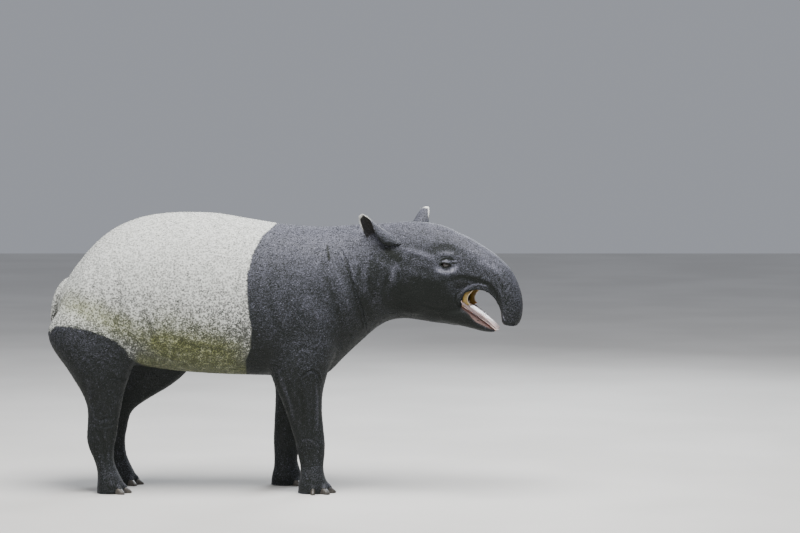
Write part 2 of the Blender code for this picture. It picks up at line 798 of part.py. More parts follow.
def weigh(made, name, weight):
    """A vertex group whose weights are a function of place."""
    group = made.vertex_groups.new(name=name)
    members = [[] for _ in range(WEIGHT_STEPS + 1)]
    for vertex in made.data.vertices:
        members[round(weight(vertex.co) * WEIGHT_STEPS)].append(vertex.index)
    for step, indices in enumerate(members):
        if indices:
            group.add(indices, step / WEIGHT_STEPS, "REPLACE")


def skin(collection):
    """The trunk, head and legs as one closed skin of few triangles."""
    pieces = [trunk(collection), snout(collection), jaw(collection)]
    pieces += [lip(side, collection) for side in (-1, 1)]
    pieces.append(leg("fore_right", FORE_RIGHT, FORE_SIDES, -1, collection))
    pieces.append(leg("fore_left", FORE_LEFT, FORE_SIDES, 1, collection))
    pieces.append(leg("hind_right", HIND_RIGHT, HIND_SIDES, -1, collection))
    pieces.append(leg("hind_left", HIND_LEFT, HIND_SIDES, 1, collection))
    pieces += muscles(collection)
    for foot, (_, _, toes) in FEET.items():
        pieces += [toe_flesh(foot, toe, collection) for toe in toes]
    made = joined("skin", pieces, collection)
    remesh = made.modifiers.new("one skin", "REMESH")
    remesh.mode = "VOXEL"
    remesh.voxel_size = VOXEL
    apply_modifiers(made)
    weigh(made, "softness", strength)
    soften = made.modifiers.new("soften", "SMOOTH")
    soften.factor = 0.5
    soften.iterations = SMOOTHINGS
    soften.vertex_group = "softness"
    apply_modifiers(made)
    triangles = sum(len(face.vertices) - 2 for face in made.data.polygons)
    weigh(made, "plainness", plainness)
    thin = made.modifiers.new("fewer triangles", "DECIMATE")
    thin.ratio = KEPT_TRIANGLES / triangles
    thin.vertex_group = "plainness"
    thin.vertex_group_factor = PLAIN_FACTOR
    thin.use_collapse_triangulate = True
    apply_modifiers(made)
    return made


def fissure(side, collection):
    """An almond-shaped bar that opens the lids."""
    half_width, half_height = FISSURE
    rings = []
    for depth in (0.0, 3 * EYE_RADIUS):
        ring = []
        for angle in angles(SMALL_SEGMENTS):
            c, s = math.cos(angle), math.sin(angle)
            ring.append((half_width * c, side * depth, half_height * s * (1 - FISSURE_POINTING * c * c)))
        rings.append(ring)
    place = bent_frame((EYE_AT[0], side * EYE_AT[1], EYE_AT[2]))
    rings = [[place @ Vector(point) for point in ring] for ring in rings]
    return loft("fissure", rings, collection)


def eyeball(name, side, collection, grow=0.0):
    place = (EYE_AT[0], side * EYE_AT[1], EYE_AT[2])
    radius = EYE_RADIUS + grow
    return ball(name, place, (radius, radius, radius), collection, EYE_LEAN, SMALL_SEGMENTS)


def stand_on_origin(parts):
    """Carries every node on one empty, moved so that the box's middle stands over the origin."""
    corners = [vertex.co for part in parts.objects for vertex in part.data.vertices]
    low = Vector(map(min, zip(*corners)))
    high = Vector(map(max, zip(*corners)))
    nodes = list(parts.objects)
    root = bpy.data.objects.new("tapir_root", None)
    parts.objects.link(root)
    root.location = (-(low.x + high.x) / 2, -(low.y + high.y) / 2, 0)
    for node in nodes:
        node.parent = root


def build():
    clear_scene()
    parts = named_collection("tapir")
    cutters = named_collection("cutters")
    materials = named_materials()

    body = skin(parts)
    for side in (-1, 1):
        combine(body, eyeball("lid", side, cutters, LID), "UNION")
        combine(body, eyeball("socket", side, cutters, GAP))
        combine(body, fissure(side, cutters))
        place = (NOSTRIL_AT[0], side * NOSTRIL_AT[1], NOSTRIL_AT[2])
        combine(body, ball("nostril", place, NOSTRIL_RADII, cutters, segments=FEW_SEGMENTS))
    combine(body, ball("throat", THROAT_AT, THROAT_RADII, cutters, segments=FEW_SEGMENTS))
    combine(body, tongue("tongue socket", cutters, GAP))
    combine(body, tail("tail socket", cutters, GAP))
    for name in EARS:
        combine(body, ear(name, cutters, GAP))
    for foot, (_, _, toes) in FEET.items():
        for toe in toes:
            combine(body, hoof("hoof socket", foot, toe, cutters, GAP))
    combine(body, block(*FLOOR_BLOCK, cutters))
    for cut in CUTS:
        combine(body, slab(cut, cutters))

    pieces = [part for part in loose_parts(body, parts) if size_of(part) > SCRAP]
    thighs = take_nearest(pieces, bend(THIGHS_MIDDLE))
    combine(thighs, slab(THIGHS_APART, cutters))
    pieces += loose_parts(thighs, parts)
    for name, point in FLESH.items():
        part = take_nearest(pieces, bend(point))
        part.name = part.data.name = name
        part.data.materials.append(materials["white hide" if name in WHITE_PARTS else "black hide"])

    for name, side in (("eye_right", -1), ("eye_left", 1)):
        eyeball(name, side, parts).data.materials.append(materials["eye"])
    for name in EARS:
        ear(name, parts).data.materials.append(materials["black hide"])
    tongue("tongue", parts).data.materials.append(materials["tongue flesh"])
    tail("tail", parts).data.materials.append(materials["white hide"])
    for foot, (_, _, toes) in FEET.items():
        for toe in toes:
            name = foot.replace("foot", "hoof") + "_" + toe[0]
            hoof(name, foot, toe, parts).data.materials.append(materials["hoof horn"])
    stand_on_origin(parts)


build()
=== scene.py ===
"""The looks of a life-size Malayan tapir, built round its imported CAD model.

One skin of the whole animal, finer at the head than at the trunk, takes the place of the flesh nodes. It is
made from the same sections as they are, lies inside them by the depth of the coat, and has the folds of a
real skin. The coat is short tufts over it, all round the animal. The eyes, hooves, tongue and the folds in the
mouth are pieces of their own. Metres, as if the animal looked straight ahead. A bend then turns the neck and
head, and at the end everything is moved to where the CAD model stands.
"""

import math

import bmesh
import bpy
import numpy as np
from mathutils import Matrix, Vector
from mathutils.bvhtree import BVHTree
from mathutils.kdtree import KDTree


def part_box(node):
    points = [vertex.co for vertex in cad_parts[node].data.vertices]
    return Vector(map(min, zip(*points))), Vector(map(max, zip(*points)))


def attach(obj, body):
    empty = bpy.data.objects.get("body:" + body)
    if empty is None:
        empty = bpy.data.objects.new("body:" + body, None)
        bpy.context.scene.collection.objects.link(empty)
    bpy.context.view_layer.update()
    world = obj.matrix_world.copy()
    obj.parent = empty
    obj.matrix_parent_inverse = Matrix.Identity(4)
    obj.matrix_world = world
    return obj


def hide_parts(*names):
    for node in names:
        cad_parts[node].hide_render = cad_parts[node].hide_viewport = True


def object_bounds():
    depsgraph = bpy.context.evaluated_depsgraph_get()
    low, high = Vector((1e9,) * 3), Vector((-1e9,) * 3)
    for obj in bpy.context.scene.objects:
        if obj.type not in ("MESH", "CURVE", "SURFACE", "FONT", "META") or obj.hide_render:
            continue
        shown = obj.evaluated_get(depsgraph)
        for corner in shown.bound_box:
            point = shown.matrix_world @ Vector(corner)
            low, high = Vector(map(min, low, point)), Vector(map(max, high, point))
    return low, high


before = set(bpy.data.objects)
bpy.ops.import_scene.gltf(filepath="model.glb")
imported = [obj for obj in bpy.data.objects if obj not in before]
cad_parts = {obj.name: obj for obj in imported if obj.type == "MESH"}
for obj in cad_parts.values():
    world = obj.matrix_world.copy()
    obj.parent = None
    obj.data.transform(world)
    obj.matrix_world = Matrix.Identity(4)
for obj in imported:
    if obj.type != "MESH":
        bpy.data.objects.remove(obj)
CAD_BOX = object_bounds()

# Driving dimensions
HEAD_YAW = math.radians(20.0)  # how far the head is turned to the animal's right
BEND_FROM = 1.02  # where along the body the neck starts to turn
BEND_TO = 1.36  # where it has turned all the way, behind the ears
RING_POINTS = 40
TRUNK_RINGS = 110
SNOUT_RINGS = 46
JAW_RINGS = 26
LEG_RINGS = 70
LIP_RINGS = 36
BALL_SEGMENTS = 32
SMALL_SEGMENTS = 16

# How square the sections of a form are (2 is an ellipse)
SNOUT_SQUARENESS = 2.2  # its outer half
JAW_SQUARENESS = 2.4
LEG_SQUARENESS = 2.25
TONGUE_SQUARENESS = 2.3
HOOF_SQUARENESS = 2.6

# The trunk and head as upright sections: place along the body, top, bottom, height of the widest line,
# half width there, then how square the upper and the lower half are
TRUNK = (
    (0.032, 0.725, 0.600, 0.665, 0.070, 2.2, 2.2),
    (0.055, 0.800, 0.550, 0.680, 0.125, 2.2, 2.2),
    (0.105, 0.880, 0.515, 0.695, 0.172, 2.1, 2.2),
    (0.180, 0.967, 0.495, 0.710, 0.200, 2.1, 2.2),
    (0.260, 1.028, 0.488, 0.715, 0.215, 2.05, 2.25),
    (0.350, 1.065, 0.484, 0.720, 0.224, 2.0, 2.3),
    (0.440, 1.082, 0.472, 0.710, 0.229, 2.0, 2.3),
    (0.530, 1.087, 0.461, 0.705, 0.238, 2.0, 2.3),
    (0.650, 1.083, 0.453, 0.700, 0.244, 2.0, 2.3),
    (0.760, 1.065, 0.449, 0.700, 0.241, 2.0, 2.3),
    (0.880, 1.045, 0.446, 0.705, 0.228, 2.0, 2.3),
    (1.000, 1.033, 0.440, 0.710, 0.208, 1.95, 2.2),
    (1.080, 1.031, 0.452, 0.730, 0.190, 1.9, 2.1),
    (1.150, 1.036, 0.520, 0.760, 0.171, 1.85, 2.0),
    (1.220, 1.041, 0.586, 0.800, 0.155, 1.85, 2.0),
    (1.275, 1.043, 0.634, 0.830, 0.143, 1.85, 2.0),
    (1.330, 1.047, 0.664, 0.850, 0.130, 1.9, 2.0),
    (1.390, 1.053, 0.674, 0.860, 0.117, 1.95, 2.0),
    (1.450, 1.054, 0.670, 0.860, 0.108, 2.0, 2.0),
    (1.510, 1.049, 0.662, 0.862, 0.100, 2.0, 2.0),
    (1.565, 1.035, 0.657, 0.862, 0.092, 2.0, 2.0),
    (1.610, 1.013, 0.653, 0.858, 0.074, 2.0, 2.0),
    (1.636, 0.975, 0.665, 0.850, 0.052, 2.0, 2.0),
)

# The snout as sections across its curved line: outer edge (along, up), inner edge (along, up), half width,
# how square the inner half is
SNOUT = (
    (1.520, 1.020, 1.560, 0.800, 0.080, 2.4),
    (1.613, 1.013, 1.632, 0.792, 0.074, 3.0),
    (1.698, 0.973, 1.680, 0.801, 0.066, 3.6),
    (1.767, 0.929, 1.716, 0.799, 0.060, 3.6),
    (1.824, 0.877, 1.748, 0.784, 0.055, 3.0),
    (1.854, 0.823, 1.770, 0.762, 0.051, 2.5),
    (1.871, 0.763, 1.783, 0.733, 0.047, 2.2),
    (1.872, 0.711, 1.788, 0.703, 0.044, 2.2),
    (1.862, 0.674, 1.790, 0.679, 0.039, 2.2),
    (1.847, 0.655, 1.796, 0.662, 0.029, 2.2),
)

SNOUT_TAPER = 0.12  # how much narrower it is along its outer edge than in its middle

# The front of the lower jaw: along, top, bottom, half width
JAW = (
    (1.560, 0.740, 0.664, 0.060),
    (1.610, 0.742, 0.655, 0.056),
    (1.645, 0.732, 0.649, 0.050),
    (1.685, 0.706, 0.640, 0.043),
    (1.718, 0.682, 0.633, 0.037),
    (1.746, 0.659, 0.631, 0.031),
    (1.766, 0.642, 0.632, 0.020),
)

JAW_FLARE = 0.10  # how much wider it is along its top than in its middle

# Rods as sections along their line: along, across, up, half width, half thickness
# The rolled edge of the upper lip on the left side, which fades out on the snout's inner edge
LIP = (
    (1.636, 0.050, 0.752, 0.0070, 0.0070),
    (1.642, 0.053, 0.770, 0.0080, 0.0080),
    (1.657, 0.056, 0.788, 0.0085, 0.0085),
    (1.682, 0.056, 0.800, 0.0085, 0.0085),
    (1.712, 0.053, 0.804, 0.0085, 0.0085),
    (1.740, 0.050, 0.797, 0.0080, 0.0080),
    (1.762, 0.045, 0.782, 0.0070, 0.0070),
    (1.778, 0.041, 0.764, 0.0060, 0.0060),
    (1.789, 0.038, 0.740, 0.0050, 0.0050),
    (1.797, 0.034, 0.715, 0.0035, 0.0035),
)

# The tongue, resting on the jaw and reaching over its tip
TONGUE = (
    (1.585, 0.0, 0.748, 0.030, 0.0120),
    (1.625, 0.0, 0.745, 0.034, 0.0140),
    (1.658, 0.0, 0.731, 0.037, 0.0150),
    (1.690, 0.0, 0.712, 0.036, 0.0150),
    (1.720, 0.0, 0.692, 0.034, 0.0145),
    (1.745, 0.0, 0.674, 0.031, 0.0140),
    (1.764, 0.0, 0.657, 0.026, 0.0125),
    (1.771, 0.0, 0.644, 0.016, 0.0080),
)

# The tail, which hangs down the rump
TAIL = (
    (0.108, 0.0, 0.822, 0.0180, 0.0180),
    (0.070, 0.0, 0.800, 0.0260, 0.0260),
    (0.042, 0.0, 0.765, 0.0240, 0.0240),
    (0.024, 0.0, 0.722, 0.0190, 0.0190),
    (0.0135, 0.0, 0.684, 0.0135, 0.0135),
    (0.009, 0.0, 0.660, 0.0065, 0.0065),
)

# Legs as level sections: height, rear and front edge of the right leg, then of the left one. The animal
# stands with its left hind leg forward
FORE_LEGS = (
    (0.740, 0.920, 1.110, 0.890, 1.090),
    (0.660, 0.880, 1.130, 0.850, 1.105),
    (0.560, 0.856, 1.125, 0.830, 1.090),
    (0.480, 0.860, 1.100, 0.842, 1.064),
    (0.430, 0.874, 1.084, 0.857, 1.044),
    (0.380, 0.896, 1.073, 0.871, 1.026),
    (0.320, 0.920, 1.071, 0.871, 1.009),
    (0.250, 0.942, 1.077, 0.867, 0.993),
    (0.200, 0.957, 1.083, 0.865, 0.984),
    (0.150, 0.967, 1.082, 0.865, 0.970),
    (0.105, 0.977, 1.076, 0.867, 0.961),
    (0.070, 0.978, 1.080, 0.866, 0.967),
    (0.040, 0.972, 1.090, 0.859, 0.976),
    (0.000, 0.968, 1.092, 0.855, 0.978),
    (-0.02, 0.968, 1.092, 0.855, 0.978),
)
HIND_LEGS = (
    (0.820, 0.150, 0.330, 0.150, 0.350),
    (0.760, 0.080, 0.385, 0.086, 0.420),
    (0.700, 0.036, 0.410, 0.046, 0.478),
    (0.640, 0.001, 0.408, 0.022, 0.517),
    (0.590, 0.006, 0.385, 0.033, 0.540),
    (0.540, 0.033, 0.354, 0.063, 0.552),
    (0.490, 0.070, 0.332, 0.100, 0.550),
    (0.440, 0.102, 0.315, 0.135, 0.520),
    (0.390, 0.132, 0.298, 0.163, 0.458),
    (0.340, 0.151, 0.288, 0.179, 0.374),
    (0.290, 0.154, 0.278, 0.177, 0.308),
    (0.220, 0.150, 0.268, 0.173, 0.288),
    (0.180, 0.156, 0.258, 0.181, 0.281),
    (0.130, 0.177, 0.256, 0.203, 0.283),
    (0.095, 0.188, 0.266, 0.216, 0.294),
    (0.065, 0.191, 0.280, 0.219, 0.308),
    (0.040, 0.190, 0.291, 0.218, 0.319),
    (0.000, 0.188, 0.293, 0.216, 0.321),
    (-0.02, 0.188, 0.293, 0.216, 0.321),
)
# The same for each leg alone, by whether it is a foreleg and whether it is a left one
EDGES = {
    (fore, left): [row[:1] + (row[3:] if left else row[1:3]) for row in rows]
    for fore, rows in ((True, FORE_LEGS), (False, HIND_LEGS))
    for left in (False, True)
}

# How far the legs reach from the midline: height, inner side, outer side
FORE_SIDES = (
    (-0.02, 0.074, 0.172),
    (0.040, 0.074, 0.172),
    (0.070, 0.078, 0.168),
    (0.105, 0.084, 0.160),
    (0.150, 0.084, 0.161),
    (0.200, 0.079, 0.168),
    (0.260, 0.079, 0.170),
    (0.340, 0.070, 0.182),
    (0.430, 0.050, 0.197),
    (0.500, 0.030, 0.206),
    (0.600, 0.030, 0.206),
    (0.740, 0.060, 0.180),
)
HIND_SIDES = (
    (-0.02, 0.074, 0.172),
    (0.040, 0.075, 0.171),
    (0.095, 0.084, 0.162),
    (0.150, 0.085, 0.161),
    (0.220, 0.080, 0.168),
    (0.300, 0.078, 0.172),
    (0.380, 0.066, 0.186),
    (0.460, 0.045, 0.203),
    (0.560, 0.020, 0.217),
    (0.660, 0.015, 0.218),
    (0.760, 0.020, 0.182),
    (0.820, 0.040, 0.130),
)

# Muscles and bones laid under the skin, one for each side: place, radii, lean about the animal's left
MUSCLES = (
    ((0.195, 0.118, 0.610), (0.165, 0.096, 0.160), 0.0),  # thigh
    ((1.000, 0.112, 0.690), (0.130, 0.098, 0.240), -14.0),  # shoulder blade
    ((0.935, 0.132, 0.590), (0.100, 0.074, 0.130), 30.0),  # triceps
    ((1.175, 0.072, 0.800), (0.130, 0.085, 0.120), 8.0),  # side of the neck
    ((1.450, 0.058, 0.800), (0.105, 0.046, 0.108), 0.0),  # cheek
    ((1.500, 0.072, 0.903), (0.105, 0.028, 0.019), 12.0),  # cheek bone
    ((1.580, 0.058, 0.928), (0.050, 0.024, 0.016), 16.0),  # brow
    ((1.624, 0.046, 0.772), (0.026, 0.014, 0.042), 0.0),  # fold of cheek in the corner of the mouth
)

# How freely the skin is smoothed along the body and up from the floor: place, strength
SOFT_ALONG = ((1.10, 1.0), (1.32, 0.50), (1.50, 0.35), (1.57, 0.05))
SOFT_UP = ((0.10, 0.05), (0.16, 0.15), (0.36, 0.25), (0.50, 1.0))

# The eyes and their lids
EYE_AT = (1.588, 0.0735, 0.893)
EYE_RADIUS = 0.018  # of the CAD model's eyes
EYE_LEAN = 8.0  # of the sphere's poles, which keeps its edges off the corners between the lids
LID = 0.0035  # how far the lids stand out over an eye
LID_SEGMENTS = 64
SOCKET_SEGMENTS = 48
SOCKET_INSIDE = 0.001  # how much smaller the socket is than the CAD model's eye
LID_SMOOTHINGS = 76  # passes that let the lids grow out of the face
LEAST_SMOOTHED = 0.35  # strength of these passes at the eye's middle
SMOOTHED_FROM = (0.010, 0.018)  # distances from there between which they reach full strength
SMOOTHED_TO = (0.034, 0.048)  # distances between which they fade out
LID_OPENING = (0.0182, 0.0084)  # half width and half height between the lids
LID_POINTING = 0.35  # how much lower the opening gets towards its corners than an ellipse
LID_SLANT = -0.06
LID_POINTS = 48
BALL_RADIUS = 0.0152  # of the eyeball that is seen
BALL_OUT = 0.0018  # how far it is pushed out between the lids
BALL_RINGS = (64, 48)
CORNEA = 0.0010  # height of the cornea over the eyeball
CORNEA_WIDTH = 0.0095
EYE_AHEAD = 8.0  # how far an eye looks forwards

# The openings in the head
NOSTRIL_AT = (1.836, 0.020, 0.664)
NOSTRIL_RADII = (0.014, 0.009, 0.020)
THROAT_AT = (1.625, 0.0, 0.752)
THROAT_RADII = (0.052, 0.030, 0.022)
THROAT_SEGMENTS = 48

# Each ear: root, tip, the way its cup opens and how far its middle line bows, in the head's own frame
EARS = {
    "ear_right": ((1.410, -0.066, 0.948), (1.240, -0.128, 1.078), (-0.30, -0.90, 0.10), -0.024),
    "ear_left": ((1.410, 0.066, 0.948), (1.446, 0.120, 1.104), (0.35, 0.90, -0.10), 0.0),
}
EAR_THICKNESS = 0.008
EAR_THINNING = 0.5  # how much of the thickness is lost at the tip
EAR_DEPTH = 0.5  # how far the cup's middle line is pushed towards its opening
# Along an ear from its root to its tip: share of the length, half width, half angle of the cup
EAR_FORM = (
    (0.00, 0.032, 92.0),
    (0.15, 0.040, 84.0),
    (0.35, 0.044, 72.0),
    (0.55, 0.041, 60.0),
    (0.75, 0.032, 50.0),
    (0.90, 0.021, 44.0),
    (0.97, 0.013, 42.0),
    (1.00, 0.006, 40.0),
)
EAR_THINNER = 0.0016  # than the CAD model's ears, to leave room for the hair
EAR_SHORT = 0.0015
EAR_CURL = 1.45  # how much further the upper margin of an ear curls over
EAR_CURL_SHORT = 1.1  # how many times as long as the curl the ear is
EAR_CURL_IN = 0.28  # how much the curl draws the margin in
EAR_EDGE = 0.62  # how much of its thickness an ear loses towards its margins
EAR_RINGS = 44
EAR_STEPS = 26
RIM_WIDTH = (0.0020, 0.0055)  # distances from the margin between which its white fades
RIM_REACH = (0.024, 0.055)  # distances from the tip between which the white margin fades out
RIM_TIP = (0.006, 0.013)  # distances between which the white of the tip itself fades
ON_EAR = (0.004, 0.03)  # skin this near an ear's form, and this far from its root, is the ear's
EAR_ROOM = 0.01  # how far round an ear skin is looked at

# Toes: name, direction from straight ahead towards the outside, reach of the hoof's back, hoof half width
FORE_TOES = (
    ("inner", -40.0, 0.051, 0.0145),
    ("middle", 0.0, 0.056, 0.0170),
    ("outer", 40.0, 0.051, 0.0145),
    ("side", 88.0, 0.041, 0.0100),
)
HIND_TOES = (
    ("inner", -40.0, 0.051, 0.0145),
    ("middle", 0.0, 0.057, 0.0170),
    ("outer", 40.0, 0.051, 0.0145),
)
# A hoof from its back to its tip: distance, share of the half width, height
HOOF = (
    (-0.006, 0.94, 0.033),
    (0.000, 1.00, 0.032),
    (0.012, 0.98, 0.025),
    (0.023, 0.84, 0.017),
    (0.031, 0.58, 0.010),
    (0.035, 0.25, 0.005),
)
HOOF_WALL = 0.92  # share of its height that is rounded, above an upright wall
HOOF_FOOT = 0.96  # width of a hoof at the floor
HOOF_GROWTH = (0.018, 2.1)  # height of its growth rings, as a share, and the turn between two sections
HOOF_RINGS = 26
HOOF_STEPS = 24
# The bulb of flesh behind a hoof: middle along the toe, its height, half length, half height, share of the
# hoof's half width
TOE_BULB = (-0.012, 0.016, 0.034, 0.027, 1.12)
# Middle of each foot
FEET = {
    "forefoot_right": (1.026, -0.123, FORE_TOES),
    "forefoot_left": (0.912, 0.123, FORE_TOES),
    "hindfoot_right": (0.232, -0.123, HIND_TOES),
    "hindfoot_left": (0.260, 0.123, HIND_TOES),
}


# The skin
HIDE_VOXEL = 0.0084  # of the remesh that makes one skin of the overlapping forms
SMOOTHINGS = 31  # passes over that skin, at full strength on the trunk
RELAX = 0.25  # how far one pass moves a vertex towards the middle of its neighbours
HEAD_FROM = 1.335  # where along the body the finer skin of the head starts
MOUTH_FROM = 1.60  # the skin is finer still from here on,
MOUTH_BELOW = 0.835  # below this height
EYE_REGION = 0.055  # and this near an eye
REFINED = (4, 5, 6)  # passes over the head, over the mouth and round the eyes, once each is refined
KNEES_UP = (0.06, 0.33)  # heights between which the legs crease
ELBOW_ALONG = (0.86, 1.14)
ELBOW_BELOW = 0.50
NECK_CREASES = 1.06  # where along the body the creases of the neck start
SNOUT_TIP = (1.755, 1.79)  # places along the body between which the rounding of the snout's tip sets in
SNOUT_TIP_UP = (0.700, 0.750)  # heights between which it ends
TIP_SMOOTHINGS = 58
LEGS_APART = 0.60  # along the body, between hind legs and forelegs
LEG_LIMIT = 1.15  # along the body, in front of the forelegs
LEG_ENDS = (0.40, 0.56)  # heights between which a leg turns into the trunk
LEG_ACROSS = 0.123  # from the midline to the middle of a leg
TAIL_SHAPE = (30, 24)  # rings, and points of each
TAIL_INSIDE = -0.001  # how much the coat's room takes off its thickness
FOLD_STEPS = 24
FOLD_ENDS = 0.22  # share of a fold over which it fades out at either end
FOLD_FADE = 0.7  # power of that fading
FOLD_LEFT = 0.25  # what is left of it at its very ends
BANKS = 0.35  # height of the banks on both sides of a fold, as a share of its depth
BANK_AT = 1.9  # their distance from its middle, in widths

# How deep the coat is, inside the CAD model's surface
COAT_DEPTH = ((0.80, 0.0015), (1.30, 0.0008))  # along the body: place, depth
FEET_COAT = ((0.05, 0.0005), (0.20, 0.0015))  # up from the floor: place, depth
SOLE_HEIGHT = 0.0015  # the flesh of the feet ends this far above the floor

# Painted light and shade of the hide at its vertices, with its own pale and dark marks, where 1 is much paler
# and -1 much darker
FOLD_PAINTED_LIGHT = 0.22  # painted shade in a fold and painted highlight on a ridge, for each millimetre of its height
FOLD_PAINTED_LIGHT_MOST = 3
# Painted light where the hide faces up and painted shade where it faces down
UP_PAINTED_LIGHT = 0.75
UP_FACING = (-0.1, 0.95)
DOWN_PAINTED_SHADE = 0.60
DOWN_FACING = (-0.2, 0.8)
# Painted shade on the hide low down, near the floor
LOW_PAINTED_SHADE = 0.45
LOW_BELOW = (0.30, 0.74)
LID_EDGE_DARKER = 2.2
LID_EDGE = (1.12, 1.34)  # between these sizes of the opening
LID_EDGE_WITHIN = 0.05  # of the eye's middle
SHADES = (-2.0, 2.4)
UNDER_FACING = (0.45, 0.90)  # painted shade in the olive colours on the underside of the saddle, which faces down, above this height
UNDER_ABOVE = 0.40  # above this height
MIDLINE = (-0.05, 0.05)  # where the right hind leg's marking turns into the left one's
BELLY_BELOW = 0.06  # how much lower the white reaches on the belly
BELLY_WHITE = (0.40, 0.50)  # places along the body between which it does

# The bare skin inside the mouth: half its width, then the soft palate and the floor
MOUTH_HALF = 0.040
MOUTH_BACK = 1.56
PALATE_FACING = (0.15, 0.45)
PALATE_UP = (0.715, 0.815)
PALATE_FADES = (1.68, 1.76)
MOUTH_FLOOR_FACING = 0.25
MOUTH_FLOOR_FRONT = 1.765
MOUTH_FLOOR_UP = (0.63, 0.765)

# The tongue of the render
TONGUE_SHAPE = (60, 40)  # rings, and points of each
TONGUE_INSIDE = -0.0004
TONGUE_THINNER = 0.24  # than its CAD node, as a share
GROOVE = (0.0016, 0.006)  # depth and half width
GROOVE_FACING = 0.2
GROOVE_FROM = (1.60, 1.66)
GROOVE_TO = (1.74, 1.768)
HOLLOW = 0.0015  # of the tongue's whole upper side
HOLLOW_FROM = (1.62, 1.68)

# The folds of the cheeks in the corners of the mouth, their pale edges and the lower lip, each a rod: places
# in the photograph with half the rod's breadth there, distance from the midline at both ends, half its
# thickness, surface
MOUTH_RODS = {
    "cheek_fold": (
        (
            (468, 290, 0.0150), (465.5, 294, 0.0120), (464.6, 298, 0.0095), (464.6, 302, 0.0110),
            (466, 306, 0.0150),
        ),
        (0.045, 0.041), 0.0028, "cheek",
    ),
    "cheek_edge": (
        (
            (472.6, 290.5, 0.0016), (468.9, 294.5, 0.0016), (467.2, 298.5, 0.0016), (467.6, 302, 0.0016),
            (470, 305, 0.0016),
        ),
        (0.0455, 0.0415), 0.0020, "cheek_light",
    ),
    "mouth_corner": (
        ((461.4, 296.5, 0.0014), (461.0, 299, 0.0024), (461.6, 302, 0.0026), (463.2, 304.5, 0.0018)),
        (0.0500, 0.0480), 0.0024, "gum",
    ),
    "lower_lip": (
        (
            (463, 303.5, 0.0050), (468, 308, 0.0060), (474, 312.5, 0.0060), (480, 317, 0.0055),
            (486, 321.8, 0.0042), (491, 326.5, 0.0024), (494, 329.5, 0.0009),
        ),
        (0.0475, 0.020), 0.0052, "lip",
    ),
}
ROD_TAPER = 0.75  # how much thinner a rod is at its ends
ROD_STEPS = 10  # rings for each of its places
ROD_POINTS = 20

# The coat
COAT_SEED = 7
TUFTS = 35500  # a square metre, where the density is 1
TUFT_DENSITY = ((1.10, 0.83), (1.35, 1.3), (1.50, 2.2))  # along the body: place, density
LEGS_DENSER = (0.30, 1.3)  # below this height, so many times
EAR_DENSITY = 3.2
# Length of the tufts: along the body, up from the floor, and out from an eye
TUFT_LENGTH = ((1.10, 0.0105), (1.40, 0.0080), (1.56, 0.0062), (1.80, 0.0055))
TUFT_LENGTH_UP = ((0.06, 0.0060), (0.30, 0.0100))
TUFT_LENGTH_EYE = ((0.02, 0.0022), (0.09, 0.009))
EAR_HAIR = 0.0055
LENGTH_VARIES = (0.7, 1.25)
TUFT_BREADTH = 0.125  # half a tuft's width, as a share of its length
TUFT_HALF = (0.0004, 0.0014)  # its least and its most
BREADTH_VARIES = (0.75, 1.2)
TUFT_LEAN = (0.06, 0.20)  # how steeply tufts rise from the skin
TIP_LEAN = -0.4  # the tip's lean, as a share of the root's
TUFT_KNEE = 0.45  # share of the length below the bend
TUFT_ROOT = 0.8  # width at the root, as a share of the full one
ROOT_DEPTH = 0.0004
TUFT_FLATNESS = 0.45
SWIRL = 0.16
SWIRL_WAVES = (5, 9.0, 3)  # how many, how close, and what their sum is divided by
STRAY = 0.16
TONE_VARIES = 0.5
BARE_INNER = 0.3  # no tufts where the skin is this much inside the mouth,
BARE_SOLES = 0.020  # below this height,
BARE_LIDS = 0.0225  # this near the middle of an eyeball's front
BARE_LIDS_OUT = 0.006
BARE_HOLES = 0.003  # and this near nostrils and throat
# Faces of a tuft of seven points, and where these points lie in its patch of the unwrapped skin
TUFT_FACES = (
    (0, 2, 1), (0, 1, 4), (0, 4, 3), (1, 2, 5), (1, 5, 4), (2, 0, 3), (2, 3, 5),
    (3, 4, 6), (4, 5, 6), (5, 3, 6),
)
TUFT_PATCH = ((-0.3, -0.5), (0.3, -0.5), (0, -0.5), (-0.4, 0.1), (0.4, 0.1), (0, 0.1), (0, 0.5))
PATCH = 0.003
COAT_PIECES = (
    ("coat_hindlegs", "black hide"),
    ("coat_forelegs", "black hide"),
    ("coat_barrel", "white hide"),
    ("coat_chest", "black hide"),
    ("coat_neck", "black hide"),
    ("coat_head", "black hide"),
    ("coat_rump", "white hide"),
    ("coat_snout", "black hide"),
    ("coat_ears", "black hide"),
)
# Where along the body these pieces start, with the rump behind them all
COAT_FROM = (
    ("coat_snout", 1.61), ("coat_head", 1.42), ("coat_neck", 1.12), ("coat_chest", 0.80),
    ("coat_barrel", 0.41),
)
COAT_LEGS_BELOW = 0.46
FLESH = (
    "proboscis", "head", "lower_jaw", "neck", "chest", "barrel", "rump", "thigh_right", "thigh_left",
    "shank_right", "shank_left", "hindfoot_right", "hindfoot_left", "foreleg_right", "foreleg_left",
    "forefoot_right", "forefoot_left",
)

# How the coat lies: back along the body, down the legs and the rump, back and down on the throat
LIE_BODY = (-1.0, 0.0, -0.28)
LIE_LEGS = (-0.2, 0.0, -1.0)
LIE_RUMP = (-0.25, 0.0, -1.0)
LIE_THROAT = (-0.7, 0.0, -0.75)
RUMP_TO = (0.02, 0.20)
THROAT_FROM = (1.05, 1.15)
THROAT_TO = (1.35, 1.5)
THROAT_BELOW = (0.66, 0.80)
SNOUT_FROM = (1.55, 1.66)
SNOUT_NEAR = 0.12  # of the snout's middle line
SNOUT_ABOVE = 0.5

# The unwrapped skin: trunk and head at the top by their length and angle, the legs side by side below them
BODY_LENGTH = 1.90
CHART_RINGS = 60
CHART_TRUNK = (0.02, 0.94, 0.42, 0.54)  # start and size across, start and size up
CHART_LEGS = (0.01, 0.22, 0.02, 0.36)
CHART_LEG_STEP = 0.245
